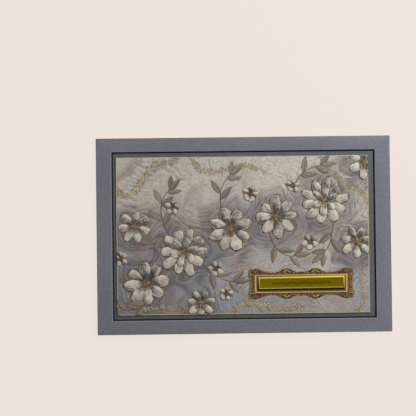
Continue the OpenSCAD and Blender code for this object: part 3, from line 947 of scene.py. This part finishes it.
def petalFinish():
    material, tree = startMaterial("paintedPetal")
    place = objectPlace(tree)
    chart = addNode(tree, "UVMap", uv_map="paintMap").outputs[0]
    brush = useGroup(tree, paintedStreaks, {"Place": chart, "Count": petalPaint["strokes"],
                                            "Wander": petalPaint["wander"]})
    mist = cloud(tree, place, 190.0, 4.0, distortion=0.8)[0]
    dabs = cloud(tree, place, 480.0, 3.0, distortion=1.5)[0]
    level = times(tree, painted(tree, "tone"), 0.75)
    # painted light and shade: each petal is painted darker at its foot and on slopes that face away from the
    # upper right
    for part in (ramp(tree, brush["Along"], 0.12, 0.6, -0.5, 0.08),
                 times(tree, useGroup(tree, paintedSlopeLight, {"Gain": 5.0})["Light"], 0.5),
                 ramp(tree, mist, 0.32, 0.68, -0.3, 0.3),
                 ramp(tree, dabs, 0.3, 0.7, -0.13, 0.13),
                 times(tree, maths(tree, "SUBTRACT", brush["Streaks"], 0.5), 0.24)):
        level = plus(tree, level, part)
    # the level runs from deep shade through grey shade and cream to white on the lit parts
    colour = blend(tree, ramp(tree, level, -0.35, 0.1), petalPaint["deepShade"], petalPaint["slate"])
    colour = blend(tree, ramp(tree, level, 0.05, 0.5), colour, petalPaint["cream"])
    colour = blend(tree, ramp(tree, level, 0.55, 1.0), colour, petalPaint["white"])
    glint = ramp(tree, fromMiddle(tree, brush["Rim"], 0.4), 0.1, 0.35, 0.5, 0.0)
    colour = blend(tree, glint, colour, petalPaint["glint"])
    colour = blend(tree, ramp(tree, brush["Rim"], 0.5, 0.8, 0.0, 0.92), colour, petalPaint["outline"])
    paper = useGroup(tree, paperGrain, {"Colour": colour, "Grain": petalPaint["grain"], "Drift": 0.04})
    endMaterial(tree, Base_Color=paper["Colour"], Roughness=0.5, Specular_IOR_Level=0.3,
                Normal=bump(tree, plus(tree, brush["Streaks"], mist), 0.14 * mm, 0.8))
    return material


def stemPoint(stem, t):
    start, pull, end = [onPrint(x, y) for x, y in stem[:3]]
    return start * (1 - t) ** 2 + pull * 2 * t * (1 - t) + end * t * t


def makeStem(stem):            # a tapering tube half sunk in the paper
    path = startTube("stem", garland["stemWidth"] / 2 * mm, 2)
    shares = [k / relief["stemSteps"] for k in range(relief["stemSteps"] + 1)]
    sunk = Vector((0, 0, relief["stemSink"]))
    addSpline(path, [(*(stemPoint(stem, t) - sunk), 1 - 0.4 * t) for t in shares])
    return meshFrom(path)


def tuckUnder(piece):            # flattens what lies under the surround, so that it can't show through
    low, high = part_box("scroll_surround")
    margin = 0.6 * mm
    for vert in piece.data.vertices:
        if low.x + margin < vert.co.x < high.x - margin and low.y + margin < vert.co.y < high.y - margin:
            vert.co.z = min(vert.co.z, artZ + relief["underSurround"])


def makeLeaves(finish):
    dice = random.Random(11)
    sheet = makeSheet("leaf")
    leaves = []
    for stem in garland["stems"]:
        pairs = stem[3]
        spots = [(k - 0.15 + 0.12 * side, side) for k in range(1, pairs + 1) for side in (-1, 1)]
        for t, side in [(spot / (pairs + 0.2), side) for spot, side in spots] + [(0.9, 0)]:
            ahead = stemPoint(stem, t + 0.02) - stemPoint(stem, t)
            turn = math.degrees(math.atan2(ahead.y, ahead.x)) + side * garland["leafSplay"]
            share = 0.85 if side == 0 else 1 - 0.25 * t
            size = (garland["leafLength"] * share * mm, garland["leafWidth"] * share * mm, relief["leafRise"])
            leaves.append(placeSheet(sheet, stemPoint(stem, t), relief["leafEdge"], size, turn,
                                     relief["leafTilt"] * dice.uniform(-1, 1), dice.uniform(0.2, 0.9)))
    bpy.data.objects.remove(sheet)
    blades = joinPieces(leaves)
    trimToPrint(blades, closed=False)
    rootSheets(blades)
    roundOff(blades)
    stems = joinPieces([makeStem(stem) for stem in garland["stems"]])
    trimToPrint(stems)
    piece = joinPieces([blades, stems])
    tuckUnder(piece)
    activate(piece)
    bpy.ops.object.shade_smooth()
    handOver(piece, "leafSprays", ["leaf_sprays"], finish)


leafPaint = {
    "dark": (0.11, 0.09, 0.072), "pale": (0.36, 0.305, 0.24), "outline": (0.12, 0.085, 0.055),
    "strokes": 5.0, "wander": 0.1, "ribs": 44.0, "grain": 2600.0,
}


def leafFinish():
    material, tree = startMaterial("paintedLeaf")
    chart = addNode(tree, "UVMap", uv_map="paintMap").outputs[0]
    brush = useGroup(tree, paintedStreaks, {"Place": chart, "Count": leafPaint["strokes"],
                                            "Wander": leafPaint["wander"]})
    fold = fromMiddle(tree, brush["Across"], 0.5)
    ribs = maths(tree, "SINE", times(tree, maths(tree, "SUBTRACT", brush["Along"], fold), leafPaint["ribs"]))
    level = plus(tree, times(tree, painted(tree, "tone"), 0.6), times(tree, ribs, 0.12))
    level = plus(tree, level, ramp(tree, brush["Across"], 0.4, 0.6, 0.0, 0.3))
    colour = blend(tree, level, leafPaint["dark"], leafPaint["pale"])
    midrib = ramp(tree, fold, 0.02, 0.07, 0.5, 0.0)
    lines = maths(tree, "MAXIMUM", midrib, times(tree, brush["Rim"], 0.8))
    colour = blend(tree, lines, colour, leafPaint["outline"])
    paper = useGroup(tree, paperGrain, {"Colour": colour, "Grain": leafPaint["grain"], "Drift": 0.05})
    endMaterial(tree, Base_Color=paper["Colour"], Roughness=0.52, Specular_IOR_Level=0.35,
                Normal=bump(tree, ribs, 0.06 * mm, 0.8))
    return material


seedHead = {      # one unit is the centre's radius
    "rings": [(0.0, 0.42, 1, 0.10), (0.20, 0.41, 6, 0.10), (0.40, 0.38, 11, 0.105), (0.60, 0.31, 16, 0.11),
              (0.79, 0.24, 20, 0.115)],                    # radius, height, number of seeds and their size
    "stamens": [(0.80, 1.14, 17, 0.5, 0.36), (0.86, 1.42, 22, 0.0, 0.41),
                (1.0, 1.62, 9, 0.3, 0.43)],                # from, to, how many, turn and height
    "dome": (0.9, 0.9, 0.45), "stamenFoot": 0.045, "stamenNeck": 0.035, "stamenTip": 0.08,
    "height": 2.0 * mm, "lift": 0.1 * mm, "fillerHeight": 0.62,
}


def spinCopies(count):           # in edit mode: copies of what is selected, evenly round the Z axis
    if count > 1:
        bpy.ops.mesh.spin(steps=count - 1, dupli=True, angle=2 * math.pi * (count - 1) / count,
                          center=(0, 0, 0), axis=(0, 0, 1))


def addBall(size, out, turned, height):      # in edit mode: one small ball, selected alone
    selectAll("DESELECT")
    bpy.ops.mesh.primitive_ico_sphere_add(subdivisions=1, radius=size, location=(
        out * math.cos(turned), out * math.sin(turned), height))


def makeSeedHead():
    bpy.ops.mesh.primitive_uv_sphere_add(segments=20, ring_count=10, radius=1)
    head = bpy.context.object
    head.scale = seedHead["dome"]
    applyPlace()
    editPiece(head)
    selectAll()
    bpy.ops.mesh.bisect(plane_co=(0, 0, 0), plane_no=(0, 0, 1), clear_inner=True, use_fill=True)
    for k, (ring, height, count, size) in enumerate(seedHead["rings"]):
        addBall(size, ring, k * 0.7, height)
        spinCopies(count)
    for inner, outer, count, turned, height in seedHead["stamens"]:
        middle = (inner + outer) / 2
        selectAll("DESELECT")
        bpy.ops.mesh.primitive_cone_add(
            vertices=5, radius1=seedHead["stamenFoot"], radius2=seedHead["stamenNeck"], depth=outer - inner,
            rotation=(0, math.radians(90), turned),
            location=(middle * math.cos(turned), middle * math.sin(turned), height))
        spinCopies(count)
        addBall(seedHead["stamenTip"], outer, turned, height)
        spinCopies(count)
    leaveEdit()
    return head


def makeCentres(finish):
    head = makeSeedHead()
    radius = garland["centreRadius"] * mm
    spots = [(onPrint(x, y), radius, 1.0) for x, y, *rest in garland["blossoms"]]
    spots += [(onPrint(x, y), radius * garland["fillerCentre"], seedHead["fillerHeight"])
              for x, y, *rest in garland["fillers"]]
    heads = []
    for k, (spot, wide, tall) in enumerate(spots):
        size = (wide, wide, seedHead["height"] * tall)
        heads.append(copyOf(head, spot + Vector((0, 0, seedHead["lift"])), size, (0, 0, k * 1.3)))
    bpy.data.objects.remove(head)
    piece = joinPieces(heads)
    trimToPrint(piece)
    smoothBy(piece, 60)
    handOver(piece, "blossomCentres", ["blossom_centres"], finish)


seedPaint = {
    "dark": (0.04, 0.026, 0.018), "bronze": (0.19, 0.125, 0.07), "gold": (0.50, 0.38, 0.23),
    "rust": (0.23, 0.085, 0.05), "spots": 1500.0, "low": artZ + 0.3 * mm, "high": artZ + 0.95 * mm,
}


def centreFinish():
    material, tree = startMaterial("bronzeSeeds")
    place = objectPlace(tree)
    spots = cells(tree, place, seedPaint["spots"])["Color"]
    parts = addNode(tree, "SeparateColor", {0: spots}).outputs
    colour = blend(tree, parts[0], seedPaint["dark"], seedPaint["bronze"])
    colour = blend(tree, ramp(tree, parts[1], 0.6, 0.95, 0.0, 0.85), colour, seedPaint["gold"])
    colour = blend(tree, ramp(tree, parts[2], 0.8, 0.95, 0.0, 0.7), colour, seedPaint["rust"])
    # painted shade and light: the seed head is painted darker low down, between the seeds, and paler on its
    # top
    deep = ramp(tree, axis(tree, place, "Z"), seedPaint["low"], seedPaint["high"], 0.35, 1.15, "LINEAR")
    endMaterial(tree, Base_Color=scaled(tree, colour, deep), Roughness=0.45, Specular_IOR_Level=0.4,
                Normal=bump(tree, cloud(tree, place, 1200.0, 3.0)[0], 0.05 * mm))
    return material


giltEdge = boardFinish("giltEdge", artCard["giltEdge"], artCard["giltWearAndHighlight"], 0.6, depth=0.04 * mm)
makeArtCard(marbleFinish(), giltEdge)
print("art card is done")
makePetals(petalFinish())
makeLeaves(leafFinish())
makeCentres(centreFinish())
print("blossoms are done")


# Gilt veins: small grains of gold leaf that follow the marbling

def isFree(spot):              # outside the blossoms, the surround and the last bit of paper at the edge
    for x, y, radius, *rest in garland["blossoms"] + garland["fillers"]:
        if (spot - onPrint(x, y)).length < radius * mm + veins["gap"]:
            return False
    low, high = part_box("scroll_surround")
    if low.x < spot.x < high.x and low.y < spot.y < high.y:
        return False
    away = spot - printMiddle
    return abs(away.x) < printHalf.x - veins["gap"] and abs(away.y) < printHalf.y - veins["gap"]


def makeClump(dice):           # a few grains of leaf within one unit
    bpy.ops.mesh.primitive_ico_sphere_add(subdivisions=1, radius=veins["grainSize"])
    clump = bpy.context.object
    editPiece(clump)
    for k in range(veins["clumpGrains"]):
        angle, out = dice.uniform(0, 2 * math.pi), math.sqrt(dice.random())
        addBall(veins["grainSize"] * dice.uniform(0.6, 1.4), out, angle, 0)
    leaveEdit()
    return clump


def makeVeins(finish):
    dice = random.Random(17)
    models = [makeClump(dice) for k in range(3)]
    clumps = []
    for *points, width in veins["paths"]:
        for k in range(veins["clumps"]):
            t = (k + dice.random()) / veins["clumps"]
            swell = (0.4 + 0.6 * math.sin(math.pi * t)) * width * mm
            spot = cubicPoint(points, t) + Vector((dice.gauss(0, 0.35), dice.gauss(0, 0.35), 0)) * swell
            if not isFree(spot):
                continue
            model = dice.choice(models)
            size = swell * dice.uniform(0.6, 1.1)
            turn = dice.uniform(0, 2 * math.pi)
            clumps.append(copyOf(model, spot, (size, size, veins["grainRise"]), (0, 0, turn)))
    for model in models:
        bpy.data.objects.remove(model)
    piece = joinPieces(clumps)
    trimToPrint(piece)
    handOver(piece, "giltVeins", ["gilt_veins"], finish)


# The scrolled surround; lengths in mm where nothing else is said

surround = {
    "reach": 4.7, "hollow": 0.33, "crestAt": 0.31, "crestHalf": 0.27, "cornerHalf": 0.34, "waist": 0.14,
    "edgeSteps": 288, "endSteps": 56, "tube": 0.31, "notch": 0.6, "lobe": 1.9, "cornerShare": 0.8,
    "baseHalf": 0.15, "baseLift": 0.13, "edgeRound": 0.06, "strandSteps": 40, "strandWave": 3.2,
    "mouldingUp": [(0.08, 0.30), (0.12, 0.20), (0.42, 0.05)],      # steps inwards, mm: width and rise
    "mouldingDown": [(0.30, -0.05), (0.08, -0.14), (0.07, -0.26)], "endCrest": 0.55,
    "band": [(0.35, 0.04), (0.45, -0.10)], "stripThick": 0.1, "leafletRise": 0.34,
    "beads": 24, "beadSize": (0.3, 0.22, 0.28), "beadSpot": (0.34, 0.04),
    "mauve": (0.17, 0.10, 0.07), "mauveWearAndHighlight": (0.25, 0.16, 0.1),
    # the floor round the plate is painted nearly black, as the plate's shadow
    "floor": (0.012, 0.008, 0.006), "floorWearAndHighlight": (0.02, 0.02, 0.02),
    # Each scroll's anchor, its place and radius as shares of the reach, start, turns, hand and eye
    "scrolls": [
        ("corner", 0, 0, 0.41, 225, 1.35, 1, 0.2),
        ("corner", -0.86, 0.10, 0.28, -30, 1.1, 1, 0.3), ("corner", 0.10, -0.86, 0.28, 120, 1.1, -1, 0.3),
        ("corner", -0.52, -0.24, 0.14, 60, 0.7, 1, 0.3), ("corner", -0.26, -0.56, 0.12, 20, 0.7, -1, 0.3),
        ("corner", -0.47, 0.30, 0.10, 0, 0.7, -1, 0.3), ("corner", 0.34, -0.46, 0.10, 90, 0.7, 1, 0.3),
        ("crest", 0, 0.28, 0.22, -90, 1.0, 1, 0.3), ("crest", -0.58, 0.26, 0.21, 20, 1.0, 1, 0.3),
        ("crest", 0.58, 0.26, 0.21, 160, 1.0, -1, 0.3), ("crest", -1.06, 0.20, 0.15, 200, 0.8, -1, 0.3),
        ("crest", 1.06, 0.20, 0.15, -20, 0.8, 1, 0.3), ("end", 0.40, 0, 0.27, 90, 1.1, -1, 0.3),
        ("end", 0.36, 0.50, 0.19, -90, 1.0, 1, 0.3), ("end", 0.34, 0.92, 0.17, 90, 0.9, -1, 0.3)],
}
baseLow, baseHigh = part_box("scroll_surround")
plaqueMiddle = (baseLow + baseHigh) / 2
baseTop = artZ + 0.3 * mm
mouldHalf = (baseHigh - baseLow) / 2 - Vector((surround["reach"] * mm, surround["reach"] * mm, 0))
halfX, halfY = mouldHalf.x / mm, mouldHalf.y / mm
anchors = {        # in mm from the middle of the surround, in its upper right quarter
    "corner": (halfX + 0.42 * surround["reach"], halfY + 0.38 * surround["reach"]),
    "crest": (surround["crestAt"] * halfX, halfY),
    "end": (halfX, 0.0),
}


def bumpCurve(u, middle, half):
    return math.cos(math.pi / 2 * (u - middle) / half) ** 2 if abs(u - middle) < half else 0


def tooth(along):              # notches between the lobes of the outline
    return surround["notch"] * (1 - abs(math.sin(math.pi * along / surround["lobe"]))) ** 2


def longReach(x):              # how far the scalloped outline stands past the moulding's long side
    u = abs(x) / mouldHalf.x
    hollow = surround["hollow"]
    crests = bumpCurve(u, surround["crestAt"], surround["crestHalf"])
    crests += bumpCurve(u, 1, surround["cornerHalf"])
    share = hollow + surround["waist"] * bumpCurve(u, 0, 0.1) + (1 - hollow) * crests
    return (surround["reach"] * share - tooth(abs(x) / mm)) * mm


def endReach(y):
    return (surround["reach"] * (0.8 + 0.2 * (abs(y) / mouldHalf.y) ** 2) - tooth(abs(y) / mm)) * mm


def surroundOutline():
    steps, ends = surround["edgeSteps"], surround["endSteps"]
    xs = [mouldHalf.x * (2 * k / steps - 1) for k in range(steps + 1)]
    ys = [mouldHalf.y * (1 - 2 * k / ends) for k in range(ends + 1)]
    upper = [(x, mouldHalf.y + longReach(x)) for x in xs]
    right = [(mouldHalf.x + endReach(y), y) for y in ys]
    past = surround["reach"] * surround["cornerShare"] * mm
    corner = (mouldHalf.x + past, mouldHalf.y + past)
    half = upper + [corner] + right + [(corner[0], -corner[1])]
    return half + [(-x, -y) for x, y in half]


def makeBase():
    path = bpy.data.curves.new("base", "CURVE")
    path.dimensions = "2D"
    path.fill_mode = "BOTH"
    path.extrude = surround["baseHalf"] * mm
    path.bevel_depth = surround["edgeRound"] * mm
    path.offset = -surround["edgeRound"] * mm
    addSpline(path, [(x, y, 0, 1) for x, y in surroundOutline()]).use_cyclic_u = True
    base = meshFrom(path)
    base.location = (plaqueMiddle.x, plaqueMiddle.y, artZ + surround["baseLift"] * mm)
    return base


def scrollPoints(middle, radius, start, turns, hand, eye):       # a spiral from its rim into its eye
    steps = max(10, int(18 * turns))
    points = []
    for k in range(steps + 1):
        t = k / steps
        angle = math.radians(start) + hand * t * turns * 2 * math.pi
        r = radius * (1 - (1 - eye) * t)
        points.append((middle[0] + r * math.cos(angle), middle[1] + r * math.sin(angle), 1 - 0.45 * t))
    return points


def strandPoints(start, end):    # a wavy strand along a hollow, from and to in shares of halfX
    steps = surround["strandSteps"]
    points = []
    for k in range(steps + 1):
        x = halfX * (start + (end - start) * k / steps)
        wave = 0.56 + 0.26 * math.sin(2 * math.pi * x / surround["strandWave"])
        points.append((x, halfY + longReach(x * mm) / mm * wave, 0.7))
    return points


def makeScrolls():             # the upper right quarter, as for the leaflets
    reach = surround["reach"]
    lines = []
    for anchor, across, up, radius, *course in surround["scrolls"]:
        x, y = anchors[anchor]
        lines.append(scrollPoints((x + across * reach, y + up * reach), radius * reach, *course))
    crest = anchors["crest"][0]
    lines.append(strandPoints(0.02, crest / halfX - 0.14))
    lines.append(strandPoints(crest / halfX + 0.14, 0.86))
    path = startTube("scrolls", surround["tube"] * mm, 2)
    for points in lines:
        addSpline(path, [(x * mm, y * mm, 0.02 * mm, thick) for x, y, thick in points])
    return meshFrom(path)


def leafletSpots():            # x, y, turn, length and width of the small lobes, in mm
    reach = surround["reach"]
    crest = anchors["crest"][0]
    cornerX, cornerY = anchors["corner"]
    spots = []
    for angle in range(-70, 71, 28):       # the shell of each crest
        a = math.radians(90 - angle)
        spots.append((crest + 0.46 * reach * math.cos(a), halfY + (0.28 + 0.42 * math.sin(a)) * reach,
                      90 - angle, 0.24 * reach, 0.11 * reach))
    for angle in range(-40, 131, 34):      # the fan of each corner
        a = math.radians(angle)
        spots.append((cornerX + 0.50 * reach * math.cos(a), cornerY + 0.50 * reach * math.sin(a), angle,
                      0.14 * reach, 0.09 * reach))
    for k in range(19):                    # teeth along the hollows
        x = halfX * (0.03 + 0.92 * k / 18)
        lift = longReach(x * mm) / mm
        if lift < 0.72 * reach:
            spots.append((x, halfY + lift * 0.82, 90, 0.09 * reach, 0.07 * reach))
    for k in range(6):                     # teeth down the end
        y = halfY * (1.02 - 0.19 * k)
        spots.append((halfX + 0.70 * reach, y, 0, 0.13 * reach, 0.085 * reach))
        spots.append((halfX + 0.12 * reach, y - 0.09 * halfY, 0, 0.07 * reach, 0.07 * reach))
    return spots


def makeLeaflets():
    bpy.ops.mesh.primitive_uv_sphere_add(segments=8, ring_count=6, radius=1)
    lobe = bpy.context.object
    lobes = [copyOf(lobe, (x * mm, y * mm, 0), (length * mm, width * mm, surround["leafletRise"] * mm),
                    (0, 0, math.radians(turn))) for x, y, turn, length, width in leafletSpots()]
    beadUp, beadLift = surround["beadSpot"]
    for k in range(surround["beads"]):     # a row of beads against the moulding
        x = (k + 0.5) / surround["beads"] * halfX
        lobes.append(copyOf(lobe, (x * mm, (halfY + beadUp) * mm, beadLift * mm),
                            [size * mm for size in surround["beadSize"]]))
    bpy.data.objects.remove(lobe)
    return joinPieces(lobes)


def makeMoulding(finish, bandFinish, floorFinish):       # a raised moulding, a mauve band and a floor painted dark as the plate's shadow
    thick = surround["stripThick"] * mm
    bpy.ops.mesh.primitive_plane_add(size=2, location=(plaqueMiddle.x, plaqueMiddle.y, baseTop - thick))
    strip = bpy.context.object
    strip.scale = (mouldHalf.x, mouldHalf.y, 1)
    applyPlace()
    strip.data.materials.append(finish)
    editPiece(strip)
    selectAll()
    extrudeUp(thick)
    insetSteps(surround["mouldingUp"])
    inner = mouldHalf.x - sum(width for width, rise in surround["mouldingUp"]) * mm
    bpy.ops.transform.resize(value=(1 - surround["endCrest"] * mm / inner, 1, 1),
                             center_override=plaqueMiddle)
    insetSteps(surround["mouldingDown"])
    paint(bandFinish)
    insetSteps(surround["band"])
    paint(floorFinish)
    faceOutwards()
    leaveEdit()
    bevelEdges(strip, surround["edgeRound"] * mm)
    return strip


def makeSurround(finish, mouldFinish, bandFinish, floorFinish):
    base = makeBase()
    quarter = joinPieces([makeScrolls(), makeLeaflets()])
    addModifier(quarter, "MIRROR", use_axis=(True, True, False), use_clip=False, use_mirror_merge=False)
    quarter.location = (plaqueMiddle.x, plaqueMiddle.y, baseTop)
    strip = makeMoulding(mouldFinish, bandFinish, floorFinish)
    for part in (base, quarter):
        part.data.materials.clear()
        part.data.materials.append(finish)
    piece = joinPieces([base, strip, quarter])
    smoothBy(piece, 50)
    handOver(piece, "scrollSurround", ["scroll_surround"])


# The name plate and the vine that runs along it; lengths in mm

plate = {
    "turn": 0.5, "rim": [(0.75, 0.8), (0.3, 0.06), (0.55, -0.3)], "fieldDrop": 0.3, "edgeRound": 0.05,
    "vineLength": 46, "vineHeight": 2.4, "vineSteps": 120, "waves": 5, "stem": 0.2,
    "leaf": (0.95, 0.33, 0.2), "leafSpread": 1.2, "leafTurn": 32, "berry": (0.42, 0.42, 0.2),
}
plateLow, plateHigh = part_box("name_plate")
plateMiddle = (plateLow + plateHigh) / 2
fieldZ = plateHigh.z - plate["fieldDrop"] * mm


def makePlate(rimFinish, fieldFinish):
    turn = math.radians(plate["turn"])
    boxSize = plateHigh - plateLow         # the box of the turned plate, from which its own sides follow
    wide = (boxSize.x * math.cos(turn) - boxSize.y * math.sin(turn)) / math.cos(2 * turn)
    tall = (boxSize.y * math.cos(turn) - boxSize.x * math.sin(turn)) / math.cos(2 * turn)
    rise = sum(step[1] for step in plate["rim"] if step[1] > 0) * mm
    thick = plateHigh.z - plateLow.z - rise
    bpy.ops.mesh.primitive_cube_add(size=1, location=(0, 0, thick / 2), scale=(wide, tall, thick))
    piece = bpy.context.object
    applyPlace()
    piece.data.materials.append(rimFinish)
    editPiece(piece)
    pick("faces", lambda face: face.normal.z > 0.9)
    insetSteps(plate["rim"])
    paint(fieldFinish)
    leaveEdit()
    bevelEdges(piece, plate["edgeRound"] * mm)
    piece.location = (plateMiddle.x, plateMiddle.y, plateLow.z)
    piece.rotation_euler = (0, 0, turn)
    smoothBy(piece, 30)
    handOver(piece, "namePlate", ["name_plate"])


def vineY(x):
    return plate["vineHeight"] / 2 * math.sin(2 * math.pi * plate["waves"] * x / plate["vineLength"])


def makeVine(finish):
    path = startTube("vine", plate["stem"] * mm, 1)
    steps = plate["vineSteps"]
    points = []
    for k in range(steps + 1):
        x = plate["vineLength"] * (k / steps - 0.5)
        points.append((x * mm, vineY(x) * mm, 0, 0.5 + 0.7 * math.sin(math.pi * k / steps)))
    addSpline(path, points)
    parts = [meshFrom(path)]
    bpy.ops.mesh.primitive_uv_sphere_add(segments=8, ring_count=6, radius=1)
    lobe = bpy.context.object
    for k in range(2 * plate["waves"]):
        x = plate["vineLength"] * ((k + 0.5) / (2 * plate["waves"]) - 0.5)
        y = vineY(x)
        way = 1 if y > 0 else -1
        parts.append(copyOf(lobe, (x * mm, -y * 0.45 * mm, 0), [size * mm for size in plate["berry"]]))
        for side in (-1, 1):
            spot = ((x + side * plate["leafSpread"]) * mm, -y * 0.25 * mm, 0)
            turn = math.radians(-way * side * plate["leafTurn"])
            parts.append(copyOf(lobe, spot, [size * mm for size in plate["leaf"]], (0, 0, turn)))
    bpy.data.objects.remove(lobe)
    vine = joinPieces(parts)
    vine.location = (plateMiddle.x, plateMiddle.y, fieldZ)
    vine.rotation_euler = (0, 0, math.radians(plate["turn"]))
    smoothBy(vine, 50)
    handOver(vine, "plateVine", [], finish)


# Colours in the hollows and on the heights (the dark of the hollows is patina and painted shade, the bright
# of the heights painted highlight), the levels that these lie at, how much paler a slope towards the light is
# painted, as painted light (darker where slant is below nought), and how much of the colour is left at the
# plate's lower edge, as painted shade (lowShare).
giltKinds = {
    "goldLeaf": {"deep": (0.22, 0.16, 0.09), "bright": (0.60, 0.50, 0.32), "metallic": 0.1, "shine": 0.5,
                 "floor": artZ - 0.1 * mm, "top": artZ + 0.12 * mm},
    "antiqueGilt": {"deep": (0.030, 0.018, 0.010), "bright": (0.54, 0.345, 0.135), "metallic": 0.5,
                    "shine": 0.3, "floor": baseTop + 0.1 * mm, "top": baseTop + 0.46 * mm, "slant": 0.1,
                    "punch": 0.4},
    # the moulding's slopes that face the upper right are painted darker, as painted light from below
    "mouldGilt": {"deep": (0.16, 0.10, 0.045), "bright": (0.56, 0.36, 0.145), "metallic": 0.5, "shine": 0.3,
                  "floor": baseTop, "top": baseTop + 0.46 * mm, "slant": -0.5},
    # the rim is painted darker from the field down its outer slopes to its walls, and duller towards its
    # lower edge, as painted shade
    "rimGilt": {"deep": (0.30, 0.24, 0.015), "bright": (0.47, 0.38, 0.052), "metallic": 0.35, "shine": 0.1,
                "floor": plateLow.z + 0.2 * mm, "top": fieldZ, "slant": 0.8, "lowShare": 0.42},
    "fieldGilt": {"deep": (0.16, 0.125, 0.0006), "bright": (0.25, 0.20, 0.001), "metallic": 0.4, "shine": 0.0,
                  "floor": fieldZ - 0.2 * mm, "top": fieldZ + 0.6 * mm, "slant": 0.3},
    "vineGilt": {"deep": (0.014, 0.012, 0.0006), "bright": (0.06, 0.05, 0.001), "metallic": 0.3, "shine": 0.0,
                 "floor": fieldZ, "top": plateHigh.z, "slant": 0.6},
}


def giltFinish(name):
    kind = giltKinds[name]
    material, tree = startMaterial(name)
    gilt = useGroup(tree, giltPatinaAndShade, {"Deep": kind["deep"], "Bright": kind["bright"], "Floor": kind["floor"],
                                     "Top": kind["top"], "Scale": 1300.0, "Punch": kind.get("punch", 0.0)})
    # painted light and shade: slopes painted paler or darker by their facing, and the plate's rim duller
    # towards its lower edge
    slant = useGroup(tree, paintedSlopeLight, {"Gain": 1.6})["Light"]
    share = plus(tree, times(tree, slant, kind.get("slant", 0.0)), 1.0)
    upward = axis(tree, objectPlace(tree), "Y")
    lowerEdgeShade = ramp(tree, upward, plateLow.y, plateHigh.y, kind.get("lowShare", 1.0), 1.0)
    colour = scaled(tree, gilt["Colour"], times(tree, share, lowerEdgeShade))
    endMaterial(tree, Base_Color=colour, Metallic=kind["metallic"], Roughness=gilt["Roughness"],
                Specular_IOR_Level=kind["shine"], Normal=bump(tree, gilt["Height"], 0.04 * mm))
    return material


makeVeins(giltFinish("goldLeaf"))
mauveBand = boardFinish("mauveBand", surround["mauve"], surround["mauveWearAndHighlight"], 0.3)
shadedFloor = boardFinish("shadedFloor", surround["floor"], surround["floorWearAndHighlight"], 0.0)
makeSurround(giltFinish("antiqueGilt"), giltFinish("mouldGilt"), mauveBand, shadedFloor)
makePlate(giltFinish("rimGilt"), giltFinish("fieldGilt"))
makeVine(giltFinish("vineGilt"))
print("surround and plate are done")
